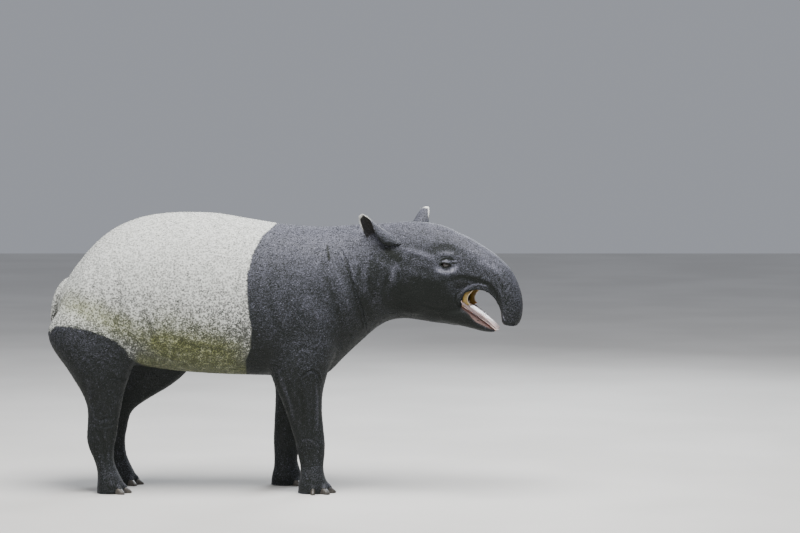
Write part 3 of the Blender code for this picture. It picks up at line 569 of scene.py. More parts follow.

# Colours of the hide
# The black hair runs from its dark to its light colour and on to grey skin as noise, each tuft's tone and the
# vertices' painted light and shade push it
BLACK_DARK = (0.0030, 0.0052, 0.0036)
BLACK_LIGHT = (0.116, 0.118, 0.154)
GREY_SKIN = (0.34, 0.345, 0.39)
WHITE_CLEAN = (0.62, 0.63, 0.60)
WHITE_FLECK = (0.055, 0.058, 0.052)
# Olive tints on the saddle and the painted shade on its underside, with their dark specks
OLIVE_DARK = (0.040, 0.045, 0.018)
OLIVE_LIGHT = (0.290, 0.310, 0.115)
# Painted shade inside the ears' cups, and how much of it there is
EAR_CUP_SHADE = (0.024, 0.022, 0.020)
EAR_CUP_SHADE_SHARE = 0.6
RIM = (0.72, 0.72, 0.68)
GUMS = (0.16, 0.10, 0.09)

# Noises of the hide: scale, detail, roughness, distortion
HAIRS = (520.0, 3.0, 0.65)
FLECKS = (230.0, 3.0, 0.6)
PATCHES = (42.0, 4.0, 0.6)
BROAD = (6.0, 3.0, 0.5)
WRINKLES = (130.0, 4.0, 0.6, 0.6)
PORES = 118.0  # dark dots between the tufts of the saddle, in a metre
# How grey the black hair is, and how much hairs, flecks, patches and broad noise change that. Then the same
# for a tuft's own tone and for the hide's marks with their painted light and shade
GREY = 0.26
GREY_NOISES = (1.3, 2.1, 0.45, 0.35)
GREY_TONE = 0.50
GREY_MARKS_AND_PAINTED_LIGHT = 0.50
# grey values between which the hair goes from its dark to its light black, then to grey skin, which the pale
# pouch and the strongest painted light reach
BLACK_LIGHTENS = (0.0, 1.05)
SKIN_SHOWS = (0.8, 1.6)
# Dark specks of the white hair, in the same way. Low on the saddle there are more
SPECK_HAIRS = 0.35
SPECK_FLECKS = 0.65
SPECK_PATCHES = 0.35
SPECK_TONE = -0.13
# the marks and painted shade of the vertices add dark specks to the white hair, and painted light takes some
# away
SPECK_MARKS_AND_PAINTED_LIGHT = -0.09
SPECKS_LOW = (0.48, 0.92, 0.115, 0.0)  # lower and upper height, and what each adds
SPECK_EDGE = (0.54, 0.64)
OLIVE_SPECK_EDGE = (0.52, 0.72)
OLIVE_PATCHES = (0.25, 0.65, 0.65, 1.0)
PORE_EDGE = (0.30, 0.62, 1.0, 0.0)
PORES_UP = (0.5, 1.05, 0.95, 0.34)  # lower and upper height, and how dark the pores are there
MARKING_FLECKS = 0.9  # how much flecks and patches break up the edge between black and white
MARKING_PATCHES = 0.5
MARKING_EDGE = (0.36, 0.64)
HAIR_RANGE = (0.2, 0.8)
ROUGH_COAT = (0.42, 0.62)
ROUGH_SKIN = (0.50, 0.72)
HIDE_FINISH = {"Specular IOR Level": 0.26, "Sheen Weight": 0.05, "Sheen Roughness": 0.45}
WRINKLE_SHARE = 1.2
HIDE_BUMP = (0.55, 0.0012)  # strength and depth

# Other surfaces: darker and lighter colour, scale of the grain, roughness, relief, wetness, fleshiness
SURFACES = {
    "horn": ((0.018, 0.016, 0.014), (0.085, 0.075, 0.062), 160, 0.42, 0.0006, 0.0, 0.0),
    "tongue": ((0.66, 0.47, 0.45), (0.86, 0.71, 0.68), 420, 0.36, 0.0006, 0.3, 0.2),
    "cheek": ((0.15, 0.09, 0.012), (0.34, 0.22, 0.04), 160, 0.34, 0.0006, 0.4, 0.1),
    "cheek_light": ((0.36, 0.28, 0.14), (0.62, 0.52, 0.34), 200, 0.34, 0.0, 0.4, 0.1),
    "lip": ((0.10, 0.075, 0.075), (0.30, 0.22, 0.22), 240, 0.42, 0.0005, 0.2, 0.05),
    "gum": ((0.28, 0.19, 0.19), (0.52, 0.40, 0.39), 240, 0.38, 0.0005, 0.3, 0.1),
}
HORN_STRETCH = (1, 1, 0.25)  # of the grain, along the hoof
FINE_GRAIN = (4.0, 0.6)  # detail and roughness
COARSE_GRAIN = (6, 3.0)  # how much coarser it is, and its detail
FINE_SHARE = 0.6
GRAIN_RANGE = (0.3, 0.7)
ROUGH_VARIES = (0.85, 1.15)
WET_ROUGH = 0.12
FLESH_RADIUS = (0.008, 0.003, 0.002)
SURFACE_BUMP = 0.6
PUPIL = (0.002, 0.002, 0.003)
IRIS_DARK = (0.010, 0.006, 0.005)
IRIS_LIGHT = (0.028, 0.015, 0.009)
IRIS_STREAKS = 700.0
IRIS_RANGE = (0.35, 0.65)
PUPIL_EDGE = (0.0042, 0.0050)
# Colours of the eye outside its iris: distances from its axis between which each sets in
EYE_OUTSIDE = (
    ((0.0092, 0.0104), (0.012, 0.008, 0.007)),
    ((0.0125, 0.0150), (0.030, 0.018, 0.016)),
)
EYE_FINISH = {"Roughness": 0.06, "Coat Weight": 1.0, "Coat Roughness": 0.02}

# The studio. Lights: name, place, what it aims at, size, power, colour
LIGHTS = (
    ("over", (0.3, -1.2, 4.6), (0.1, 0.0, 0.6), 3.2, 480, (1.0, 0.99, 0.97)),
    ("front", (-2.6, -4.2, 2.6), (0.0, 0.0, 0.6), 2.4, 60, (1.0, 0.97, 0.93)),
    ("behind", (1.6, 3.8, 3.2), (0.1, 0.0, 0.7), 2.4, 170, (0.92, 0.96, 1.0)),
)
SKY = (0.86, 0.90, 1.0, 1)
SKY_STRENGTH = 0.38
FLOOR_HALF = 14.0
FLOOR_UNDER = -0.0005
FLOOR_DARK = (0.60, 0.59, 0.57)
FLOOR_LIGHT = (0.66, 0.65, 0.63)
FLOOR_TINT = 1.2  # scale of its faint patches
FLOOR_ROUGH = 0.9

# Places read in the photograph are pixels of its 800 x 533 frame. A ray from the camera puts them on the
# skin. One that misses takes the skin nearest to a place just before the midline
PIXEL = 0.0039  # of the photograph, at the animal's midline
RAY_MISS = 0.1
PHOTO_WIDTH = 800
PHOTO_MIDDLE = (400.0, 266.5)
SENSOR = 36.0
CAMERA_RISE = math.radians(4.0)
CAMERA_DISTANCE = 13.0
CAMERA_TARGET = Vector((1.365, 0.0, 0.8716))
AHEAD = Vector((0, math.cos(CAMERA_RISE), -math.sin(CAMERA_RISE)))
RIGHT = Vector((1, 0, 0))
UP = Vector((0, math.sin(CAMERA_RISE), math.cos(CAMERA_RISE)))
CAMERA_AT = CAMERA_TARGET - AHEAD * CAMERA_DISTANCE

# Folds and forms of the skin on the animal's right, which are repeated on its left: height over the skin
# and width in millimetres (a fold has a height below zero), then places in the photograph
FOLDS = (
    # eye: fold of the upper lid, hood, pouch under the eye and the folds round it, corner towards the snout
    (-1.5, 2.2, ((437, 260.5), (441, 257.8), (446, 256.6), (451, 258), (454, 260.5))),
    (0.6, 5.0, ((438, 256), (443, 253.5), (449, 253.5), (455, 256))),
    (0.9, 7.5, ((434, 268), (439, 272.5), (446, 274), (452, 272), (457, 267))),
    (-0.8, 7.0, ((440, 280), (450, 281), (460, 276))),
    (-1.6, 1.6, ((451, 263), (454.5, 263.6), (457.8, 263.2))),
    # cheek bone, hollow over the eye and hollow behind it
    (1.6, 11.0, ((404, 249), (414, 252), (425, 256), (436, 261))),
    (-1.2, 14.0, ((428, 250), (440, 248), (452, 249), (462, 253))),
    (-1.0, 13.0, ((398, 262), (410, 266), (422, 270), (432, 274))),
    (1.0, 11.0, ((456, 247), (466, 250), (476, 254), (486, 259))),
    # groove over the lip and the roll of the lip itself
    (
        -1.9, 8.0,
        ((452, 278), (460, 277), (470, 279), (480, 281.5), (488, 285), (494, 291), (498, 299), (500, 308)),
    ),
    (1.6, 4.5, ((462, 294), (466, 288.5), (474, 285), (484, 285.6), (491, 289), (495, 295), (497, 303))),
    (-2.0, 4.0, ((459, 292), (456, 297), (457, 303), (461, 308))),
    # wrinkles across the snout
    (-0.7, 4.0, ((480, 247), (477, 256), (476, 265), (479, 273))),
    (-0.8, 4.0, ((487, 252), (484, 261), (484, 269), (488, 277))),
    (-0.8, 4.0, ((494, 257), (491, 265), (492, 273), (496, 281))),
    (-0.8, 4.0, ((501, 263), (498, 271), (498, 279), (501, 288))),
    (-0.8, 4.0, ((507, 271), (503, 279), (502, 287), (504, 296))),
    (-0.8, 3.8, ((511, 281), (507, 288), (505, 295), (506, 304))),
    (-0.7, 3.6, ((514, 292), (509, 298), (507, 304), (507, 311))),
    (-0.6, 3.4, ((515, 303), (510, 307), (507, 311), (506, 316))),
    # jaw, throat, and the fold behind the cheek
    (-1.5, 11.0, ((392, 272), (386, 283), (384, 295), (388, 306))),
    (1.4, 14.0, ((398, 262), (394, 275), (394, 288), (400, 300))),
    (-2.0, 8.0, ((420, 303), (432, 307), (444, 309), (456, 311))),
    (-1.6, 5.0, ((470, 316), (478, 321), (487, 325))),
    # behind the ear, down the neck and round the shoulder
    (-1.4, 11.0, ((376, 254), (384, 259), (392, 262))),
    (-1.5, 10.0, ((372, 258), (370, 272), (370, 286), (374, 300))),
    (-1.5, 10.0, ((362, 262), (358, 278), (359, 294), (365, 308))),
    (-3.6, 4.0, ((341, 250), (347, 262), (352, 279), (358, 295), (363, 312), (366, 328))),
    (1.5, 16.0, ((333, 268), (341, 286), (348, 304), (352, 320))),
    (-1.5, 12.0, ((322, 262), (327, 280), (333, 298), (339, 316), (343, 332))),
    (0.8, 26.0, ((300, 300), (312, 310), (326, 318))),
    (-1.2, 14.0, ((268, 292), (272, 310), (280, 328), (292, 340))),
    # elbow and the front leg
    (-4.0, 5.0, ((302, 377), (306, 372.5), (312, 370.5), (318, 374), (321, 382))),
    (-2.0, 4.0, ((297, 350), (302, 347.5), (309, 348), (316, 352))),
    (2.4, 9.0, ((279, 372), (284, 388), (290, 404), (294, 420))),
    (-2.6, 8.0, ((300, 388), (303, 402), (304, 416), (303, 430))),
    (2.0, 8.0, ((316, 384), (317, 400), (317, 416), (317, 432))),
    (-1.8, 3.4, ((298, 441), (305, 438), (312, 439), (319, 442))),
    (-1.8, 3.2, ((297, 449), (304, 447), (311, 447), (319, 450))),
    (-1.4, 3.0, ((299, 456), (306, 455), (313, 456))),
    # flank, belly and the hind leg
    (-3.2, 9.0, ((140, 306), (142, 312), (147, 322), (152.8, 333), (158, 344))),
    (3.0, 12.0, ((130, 304), (133, 318), (137, 332), (141, 344))),
    (-2.4, 10.0, ((172, 338), (196, 346), (222, 350), (246, 350))),
    (3.0, 24.0, ((86, 262), (84, 284), (90, 306), (98, 326))),
    (-2.6, 12.0, ((112, 262), (118, 284), (120, 306), (120, 322))),
    (-2.6, 5.0, ((108, 375), (114, 377), (121, 380), (128, 381))),
    (-2.0, 4.0, ((105, 391), (111, 393), (117, 394), (123, 392))),
    (-1.2, 3.0, ((101, 400), (108, 402), (116, 403))),
    (-1.2, 3.0, ((99, 408), (106, 410), (115, 411))),
    (-2.4, 4.2, ((95, 417), (101, 420), (108, 418), (118, 416))),
    (-1.8, 3.4, ((97, 425), (104, 427), (112, 425), (118, 422))),
    (2.0, 8.0, ((88, 384), (90, 398), (92, 410), (94, 418))),
    (-2.2, 7.0, ((99, 430), (103, 442), (105, 454), (106, 464))),
)

# Where the hide is paler or darker than its markings make it, mostly painted light and shade on its forms,
# with a few marks of its own such as the pale pouch under the eye and the scar on the neck: how much, width in
# millimetres, places
TONES = (
    # eye: the pale pouch under it, then a painted highlight over its corner towards the snout and painted
    # shade in the crease of that corner
    (1.7, 11.0, ((435, 267.5), (441, 270.5), (447, 271.5), (453, 270), (458, 266.5))),
    (0.10, 4.0, ((441, 254.5), (447, 253.5), (453, 255))),
    (1.3, 2.2, ((451, 261), (454, 261.2), (457.5, 260.8))),
    (-1.8, 1.7, ((451.5, 263.2), (454.5, 263.6), (457.8, 263.2))),
    # painted highlights on the cheek bone and on top of the snout
    (0.35, 9.0, ((404, 249), (416, 252), (430, 257))),
    (0.75, 12.0, ((478, 261), (490, 265), (500, 274))),
    # painted shade in the hollow over the eye and in the crease over the upper lid
    (-0.35, 18.0, ((430, 250), (442, 247), (456, 250))),
    (-1.1, 5.0, ((441, 259.8), (447, 258.2), (454, 259.5))),
    # painted shade in the groove over the lip, painted highlight on the roll of the lip
    (-0.60, 11.0, ((446, 281), (460, 278), (474, 279), (486, 284), (494, 292), (499, 302))),
    (0.40, 5.0, ((462, 295), (466, 288.5), (474, 285), (484, 285.6), (491, 289))),
    # painted shade in the crease down the neck and in the grooves behind the ear, painted highlight on the
    # ridge behind the cheek
    (-1.8, 3.0, ((344, 258), (348, 269), (354, 290), (360, 312), (364, 328))),
    (-0.6, 26.0, ((362, 292), (366, 306), (372, 318))),
    (-0.5, 20.0, ((378, 262), (374, 280), (376, 296))),
    (0.45, 13.0, ((396, 264), (392, 272), (392, 282))),
    # painted shade along the jaw and the throat, and painted shadow under the ear
    (-1.6, 34.0, ((390, 288), (406, 294), (428, 297), (452, 302))),
    (-1.6, 28.0, ((388, 304), (420, 310), (450, 314), (476, 322))),
    (-1.0, 24.0, ((410, 280), (424, 284), (446, 286))),
    (-1.3, 15.0, ((384, 248), (392, 254), (402, 260))),
    # painted highlights on the ridges of the foreleg and painted shade in the groove between them
    (0.30, 8.0, ((316, 382), (318, 410), (317, 440), (318, 470))),
    (0.26, 8.0, ((278, 374), (287, 398), (294, 424))),
    (-0.40, 8.0, ((301, 392), (303, 410), (303, 428))),
    (0.35, 3.0, ((300, 448), (306, 441), (312, 443))),
    (0.50, 2.5, ((128.5, 377), (130, 379))),
    (-2.2, 4.0, ((327.2, 244), (328.2, 252), (329.4, 261))),
    (1.20, 2.0, ((330.6, 261.6), (331.2, 262.4))),
    (2.4, 2.4, ((502.4, 313.5), (503.2, 317.5), (505.2, 321))),
)

# The markings, in the photograph: the line between chest and saddle, and the one over the hind leg
SADDLE_FRONT = (
    (277, 223), (262, 236), (252, 256), (247, 276), (247, 296), (249, 313), (251.6, 329), (250.6, 349),
    (245.6, 361),
)
SADDLE_REAR = (
    (50.6, 332), (55, 326), (68, 326.5), (86.4, 330), (103.7, 336), (116.8, 342), (125.4, 350), (130, 358),
    (138.5, 363), (144, 365.6), (165.6, 370), (185, 372),
)
SADDLE_SOFT = 0.016  # half the width of the mixed hairs along the edge of the saddle
LEFT_LEG_AHEAD = 0.13  # how much further forward the marking of the left hind leg lies
# Yellowish olive tints on the saddle: strength, width in millimetres, places
OLIVE_TINTS = (
    (0.7, 45.0, ((150, 342), (196, 348), (246, 348))),
    (1.2, 60.0, ((148, 340), (170, 352), (200, 360), (232, 364), (246, 366))),
    (0.6, 50.0, ((60, 300), (90, 312), (120, 326), (146, 340))),
    (0.30, 60.0, ((150, 318), (190, 332), (230, 338))),
)


def through(rows, count):
    """Rows of numbers spread evenly along a smooth curve through the given rows."""
    rows = np.array(rows, float)
    padded = np.vstack([2 * rows[0] - rows[1], rows, 2 * rows[-1] - rows[-2]])
    out = []
    for at in np.linspace(0, len(rows) - 1, count):
        i = min(int(at), len(rows) - 2)
        t = at - i
        a, b, c, d = padded[i : i + 4]
        slope = (c - a) * t
        bow = (2 * a - 5 * b + 4 * c - d) * t**2
        twist = (3 * b - a - 3 * c + d) * t**3
        out.append(0.5 * (2 * b + slope + bow + twist))
    return np.array(out)


def graded(values, steps):
    """Numbers read from a table of places and numbers."""
    return np.interp(values, *zip(*steps))


def smooth_step(values, low, high):
    t = np.clip((values - low) / (high - low), 0, 1)
    return t * t * (3 - 2 * t)


def rounded(angle, squareness):
    """Cosine and sine of an angle on a superellipse."""
    power = 2 / squareness
    c, s = math.cos(angle), math.sin(angle)
    return math.copysign(abs(c) ** power, c), math.copysign(abs(s) ** power, s)


def angles(count=RING_POINTS):
    return [2 * math.pi * i / count for i in range(count)]


def turned(along):
    """The yaw of the body at a place along it."""
    share = (along - BEND_FROM) / (BEND_TO - BEND_FROM)
    return HEAD_YAW * min(max(share, 0), 1)


def bend(point):
    """Where a point of the straight animal goes once the neck has turned."""
    along, across, up = point
    yaw = turned(along)
    x = min(along, BEND_FROM)
    y = 0.0
    if yaw > 0:
        radius = (BEND_TO - BEND_FROM) / HEAD_YAW
        beyond = max(along - BEND_TO, 0)
        x += radius * math.sin(yaw) + beyond * math.cos(HEAD_YAW)
        y -= radius * (1 - math.cos(yaw)) + beyond * math.sin(HEAD_YAW)
    return Vector((x + across * math.sin(yaw), y + across * math.cos(yaw), up))


def bent_frame(point):
    """The matrix that stands a shape made at the origin on a point of the bent animal."""
    return Matrix.Translation(bend(point)) @ Matrix.Rotation(-turned(point[0]), 4, "Z")


def straight(places):
    """Undoes the bend: where points of the bent animal are in the straight one."""
    places = np.asarray(places, float)
    radius = (BEND_TO - BEND_FROM) / HEAD_YAW
    x, y = places[:, 0] - BEND_FROM, places[:, 1] + radius
    yaw = np.clip(np.arctan2(x, y), 0, HEAD_YAW)
    along = BEND_FROM + yaw / HEAD_YAW * (BEND_TO - BEND_FROM)
    across = np.hypot(x, y) - radius
    behind = places[:, 0] <= BEND_FROM
    along = np.where(behind, places[:, 0], along)
    across = np.where(behind, places[:, 1], across)
    end = np.array(bend((BEND_TO, 0, 0)))
    ahead = (places[:, 0] - end[0]) * math.cos(HEAD_YAW) - (places[:, 1] - end[1]) * math.sin(HEAD_YAW)
    aside = (places[:, 0] - end[0]) * math.sin(HEAD_YAW) + (places[:, 1] - end[1]) * math.cos(HEAD_YAW)
    beyond = ahead > 0
    along = np.where(beyond, BEND_TO + ahead, along)
    across = np.where(beyond, aside, across)
    return np.column_stack((along, across, places[:, 2]))


def swung(ways, along):
    """Directions of the straight animal as they are in the bent one."""
    yaw = HEAD_YAW * np.clip((along - BEND_FROM) / (BEND_TO - BEND_FROM), 0, 1)
    x = ways[:, 0] * np.cos(yaw) + ways[:, 1] * np.sin(yaw)
    y = -ways[:, 0] * np.sin(yaw) + ways[:, 1] * np.cos(yaw)
    return np.column_stack((x, y, ways[:, 2]))


def in_scene(name, data):
    made = bpy.data.objects.new(name, data)
    bpy.context.scene.collection.objects.link(made)
    return made


def object_of(name, form, outward=True):
    """An object made from a bmesh, with its faces turned to point outwards."""
    if outward:
        bmesh.ops.recalc_face_normals(form, faces=form.faces)
    mesh = bpy.data.meshes.new(name)
    form.to_mesh(mesh)
    form.free()
    return in_scene(name, mesh)


def smooth_faces(made):
    made.data.polygons.foreach_set("use_smooth", np.ones(len(made.data.polygons), bool))


def cap(form, loop):
    """Closes the end of a tube with a strip of triangles from one half of the loop to the other."""
    last = len(loop) - 1
    for i in range(len(loop) // 2):
        a, b, c, d = i, i + 1, last - i - 1, last - i
        if b < c:
            form.faces.new((loop[a], loop[b], loop[c]))
        if a < c:
            form.faces.new((loop[a], loop[c], loop[d]))


def loft(name, rings):
    """A closed tube through rings that have equally many points."""
    form = bmesh.new()
    loops = [[form.verts.new(point) for point in ring] for ring in rings]
    for near, far in zip(loops, loops[1:]):
        for i in range(len(near)):
            j = (i + 1) % len(near)
            form.faces.new((near[i], near[j], far[j]))
            form.faces.new((near[i], far[j], far[i]))
    cap(form, loops[0])
    cap(form, loops[-1])
    return object_of(name, form)


def swept(name, rows, place):
    """A tube of the bent animal. place gives a row's point at an angle."""
    return loft(name, [[bend(place(row, angle)) for angle in angles()] for row in rows])


def trunk():
    def place(row, angle):
        along, top, bottom, wide_at, half, upper, lower = row
        c, s = rounded(angle, upper if angle < math.pi else lower)
        reach = top - wide_at if s > 0 else wide_at - bottom
        return along, half * c, wide_at + reach * s

    return swept("trunk", through(TRUNK, TRUNK_RINGS), place)


def snout():
    """The proboscis, a little narrower along its top than along the lip."""

    def place(row, angle):
        out_x, out_z, in_x, in_z, half, square = row
        middle = np.array(((out_x + in_x) / 2, (out_z + in_z) / 2))
        reach = np.array((out_x - in_x, out_z - in_z)) / 2
        c, s = rounded(angle, SNOUT_SQUARENESS if angle < math.pi else square)
        along, up = middle + reach * s
        return along, half * c * (1 - SNOUT_TAPER * s), up

    return swept("snout", through(SNOUT, SNOUT_RINGS), place)


def jaw():
    def place(row, angle):
        along, top, bottom, half = row
        middle, reach = (top + bottom) / 2, (top - bottom) / 2
        c, s = rounded(angle, JAW_SQUARENESS)
        return along, half * c * (1 + JAW_FLARE * s), middle + reach * s

    return swept("jaw", through(JAW, JAW_RINGS), place)


def leg(edges, sides, side):
    """A leg from its level sections. side is 1 on the animal's left and -1 on its right."""
    heights, inner, outer = np.array(sides).T

    def place(row, angle):
        up, rear, front = row
        near = np.interp(up, heights, inner)
        far = np.interp(up, heights, outer)
        c, s = rounded(angle, LEG_SQUARENESS)
        along = (rear + front) / 2 + (front - rear) / 2 * c
        across = (near + far) / 2 + (far - near) / 2 * s
        return along, side * across, up

    return swept("leg", through(edges, LEG_RINGS), place)


def rod(name, sections, points, squareness=2, side=1, grow=0.0):
    """A closed rod along an upright line. Grow thickens it and pushes its ends out."""
    rings = []
    last = len(sections) - 1
    for i, (along, across, up, half, thick) in enumerate(sections):
        ahead = sections[min(i + 1, last)] - sections[max(i - 1, 0)]
        fore, rise = np.array((ahead[0], ahead[2])) / math.hypot(ahead[0], ahead[2])
        push = grow * ((i == last) - (i == 0))
        ring = []
        for angle in angles(points):
            c, s = rounded(angle, squareness)
            lift = (thick + grow) * s
            place = along + fore * push - rise * lift
            height = up + rise * push + fore * lift
            ring.append(bend((place, side * (across + (half + grow) * c), height)))
        rings.append(ring)
    return loft(name, rings)


def ball(name, centre, radii, lean=0.0, segments=BALL_SEGMENTS):
    """An ellipsoid, leant about the animal's left, in the place where the bend puts it."""
    form = bmesh.new()
    bmesh.ops.create_uvsphere(form, u_segments=segments, v_segments=segments // 2, radius=1)
    turn = Matrix.Rotation(math.radians(lean), 4, "Y") @ Matrix.Diagonal((*radii, 1))
    for vertex in form.verts:
        vertex.co = bend(turn @ vertex.co + Vector(centre))
    return object_of(name, form)


def beside(place, side, out=0.0):
    """A place given for the animal's left, on the side wanted and further out."""
    return place[0], side * (place[1] + out), place[2]


def eye_ball(name, side, radius, segments):
    return ball(name, beside(EYE_AT, side), (radius, radius, radius), EYE_LEAN, segments)


def toe_place(foot, toe):
    """The matrix of a toe: its origin at the hoof's back on the floor, +X along the toe."""
    along, across, _ = FEET[foot]
    _, heading, reach, _ = toe
    outward = math.copysign(math.radians(heading), across * heading)
    middle = Matrix.Translation((along, across, 0)) @ Matrix.Rotation(outward, 4, "Z")
    return middle @ Matrix.Translation((reach, 0, 0))


def toe_flesh(foot, toe):
    """The flesh of a toe, a bulb that ends under the hoof's upper edge."""
    form = bmesh.new()
    bmesh.ops.create_uvsphere(form, u_segments=SMALL_SEGMENTS, v_segments=SMALL_SEGMENTS, radius=1)
    middle, height, half_length, half_height, share = TOE_BULB
    radii = (half_length, share * toe[3], half_height)
    shape = Matrix.Translation((middle, 0, height)) @ Matrix.Diagonal((*radii, 1))
    bmesh.ops.transform(form, matrix=toe_place(foot, toe) @ shape, verts=form.verts)
    return object_of("toe", form)


def apply_modifiers(made):
    """Keeps the object's mesh as its modifiers leave it."""
    bpy.context.view_layer.update()
    graph = bpy.context.evaluated_depsgraph_get()
    mesh = bpy.data.meshes.new_from_object(made.evaluated_get(graph))
    made.modifiers.clear()
    old = made.data
    made.data = mesh
    bpy.data.meshes.remove(old)


def joined(name, pieces):
    """One object that holds all the pieces' meshes, still overlapping."""
    form = bmesh.new()
    for piece in pieces:
        form.from_mesh(piece.data)
        bpy.data.objects.remove(piece)
    return object_of(name, form, outward=False)


def combine(made, cutter, operation="DIFFERENCE"):
    """Cuts or joins the second object's shape, which is then removed."""
    boolean = made.modifiers.new(operation.lower(), "BOOLEAN")
    boolean.operation = operation
    boolean.solver = "MANIFOLD"
    boolean.object = cutter
    apply_modifiers(made)
    bpy.data.objects.remove(cutter)


def read(made, what="co"):
    """The places or normals of an object's vertices as rows."""
    rows = np.empty(len(made.data.vertices) * 3, np.float32)
    made.data.vertices.foreach_get(what, rows)
    return rows.reshape(-1, 3).astype(float)


def write(made, places):
    made.data.vertices.foreach_set("co", np.asarray(places, np.float32).ravel())
    made.data.update()


def attribute(made, name, values):
    layer = made.data.attributes.new(name, "FLOAT", "POINT")
    layer.data.foreach_set("value", np.asarray(values, np.float32))


def values_of(made, name):
    values = np.empty(len(made.data.vertices), np.float32)
    made.data.attributes[name].data.foreach_get("value", values)
    return values.astype(float)


def triangles_of(made):
    mesh = made.data
    mesh.calc_loop_triangles()
    corners = np.empty(len(mesh.loop_triangles) * 3, np.int32)
    mesh.loop_triangles.foreach_get("vertices", corners)
    return corners.reshape(-1, 3)


def ray(pixel):
    """The way from the camera through a place of the photograph, as far as the animal's midline."""
    across, down = pixel
    way = AHEAD * (CAMERA_DISTANCE / PIXEL) + RIGHT * (across - PHOTO_MIDDLE[0])
    return way + UP * (PHOTO_MIDDLE[1] - down)


def on_skin(pixels, tree):
    """Where the skin is seen at places of the photograph, on the straight animal."""
    found = []
    for pixel in pixels:
        way = ray(pixel).normalized()
        hit = tree.ray_cast(CAMERA_AT, way)[0]
        if hit is None:
            hit = tree.find_nearest(CAMERA_AT + way * (CAMERA_DISTANCE - RAY_MISS))[0]
        found.append(hit)
    return straight(found)


def at_side(pixels, across):
    """Places of the photograph on an upright plane beside the head's midline, on the straight animal."""
    facing = Vector((math.sin(HEAD_YAW), math.cos(HEAD_YAW), 0))
    depth = (bend((BEND_TO, across, 0)) - CAMERA_AT).dot(facing)
    ways = [ray(pixel) for pixel in pixels]
    return straight([CAMERA_AT + way * (depth / way.dot(facing)) for way in ways])


def other_side(line):
    """The same places on the animal's left, where the legs stand differently."""
    moved = []
    for along, across, up in line:
        ends = []
        for left in (False, True):
            heights, rear, front = np.array(EDGES[bool(along > LEGS_APART), left][::-1]).T
            ends.append((np.interp(up, heights, rear), np.interp(up, heights, front)))
        (rear, front), (left_rear, left_front) = ends
        share = (along - rear) / (front - rear)
        on_leg = 1 - float(smooth_step(np.array(up), *LEG_ENDS))
        there = left_rear + share * (left_front - left_rear)
        moved.append((along + (there - along) * on_leg, -across, up))
    return np.array(moved)


def near_line(places, line, reach):
    """Each place's distance from a line, and its share along it, for the places within reach."""
    low, high = line.min(0) - reach, line.max(0) + reach
    index = np.nonzero(((places > low) & (places < high)).all(1))[0]
    close = places[index]
    best = np.full(len(close), np.inf)
    share = np.zeros(len(close))
    lengths = np.linalg.norm(np.diff(line, axis=0), axis=1)
    starts = np.concatenate(([0], np.cumsum(lengths)))
    for i, length in enumerate(lengths):
        way = line[i + 1] - line[i]
        t = np.clip((close - line[i]) @ way / length**2, 0, 1)
        distance = np.linalg.norm(close - line[i] - t[:, None] * way, axis=1)
        nearer = distance < best
        best[nearer] = distance[nearer]
        share[nearer] = ((starts[i] + t * length) / starts[-1])[nearer]
    return index, best, share


def marks(places, rows, tree, banks=0.0):
    """The sum of soft lines over places on the straight animal, on both of its sides."""
    total = np.zeros(len(places))
    for height, width, pixels in rows:
        width = width / 1000
        line = through(on_skin(pixels, tree), FOLD_STEPS)
        for side in (line, other_side(line)):
            index, distance, share = near_line(places, side, 4 * width)
            ends = np.clip(np.minimum(share, 1 - share) / FOLD_ENDS, 0, 1) ** FOLD_FADE
            shape = np.exp(-((distance / width) ** 2))
            shape -= banks * np.exp(-(((distance - BANK_AT * width) / width) ** 2))
            total[index] += height * shape * (FOLD_LEFT + (1 - FOLD_LEFT) * ends)
    return total


def relax(made, weights, passes):
    """Moves each vertex towards the middle of its neighbours, by its own weight."""
    ends = np.empty(len(made.data.edges) * 2, np.int32)
    made.data.edges.foreach_get("vertices", ends)
    first, second = ends.reshape(-1, 2).T
    places = read(made)
    count = len(places)
    neighbours = np.bincount(first, minlength=count) + np.bincount(second, minlength=count)
    share = (weights * RELAX / np.maximum(neighbours, 1))[:, None]
    for _ in range(passes):
        pull = np.empty_like(places)
        for axis in range(3):
            column = places[:, axis]
            pull[:, axis] = np.bincount(first, column[second], count)
            pull[:, axis] += np.bincount(second, column[first], count)
        places += share * (pull - places * neighbours[:, None])
    write(made, places)


def refine(made, wanted):
    """Splits the faces in a region of the straight animal into four."""
    inside = wanted(straight(read(made)))
    form = bmesh.new()
    form.from_mesh(made.data)
    edges = [edge for edge in form.edges if inside[edge.verts[0].index] and inside[edge.verts[1].index]]
    bmesh.ops.subdivide_edges(form, edges=edges, cuts=1, use_grid_fill=True)
    form.to_mesh(made.data)
    form.free()
    made.data.update()


def inside_of(values, limits):
    return (values > limits[0]) & (values < limits[1])


def in_wrinkles(places):
    """The joints of the legs, the elbow and the neck, where the skin creases."""
    along, _, up = places.T
    creased = inside_of(up, KNEES_UP) | inside_of(along, (NECK_CREASES, HEAD_FROM))
    return creased | (inside_of(along, ELBOW_ALONG) & (up < ELBOW_BELOW))


def in_head(places):
    return places[:, 0] > HEAD_FROM


def eye_apart(flat, out=0.0):
    """The square of places' distance from the nearer eye's middle, or from a point further out."""
    along, across, up = flat.T
    return (along - EYE_AT[0]) ** 2 + (np.abs(across) - EYE_AT[1] - out) ** 2 + (up - EYE_AT[2]) ** 2


def near_eyes(places):
    return eye_apart(places) < EYE_REGION**2


def in_face(places):
    """Round the eyes, the mouth and the nostrils."""
    along, _, up = places.T
    return near_eyes(places) | ((along > MOUTH_FROM) & (up < MOUTH_BELOW))


def eye_distance(flat):
    """How far places are from the nearer eye's middle, seen from the side."""
    along, across, up = flat.T
    apart = np.hypot(along - EYE_AT[0], up - EYE_AT[2])
    return np.where(np.abs(across) > EYE_AT[1] / 2, apart, 1.0)


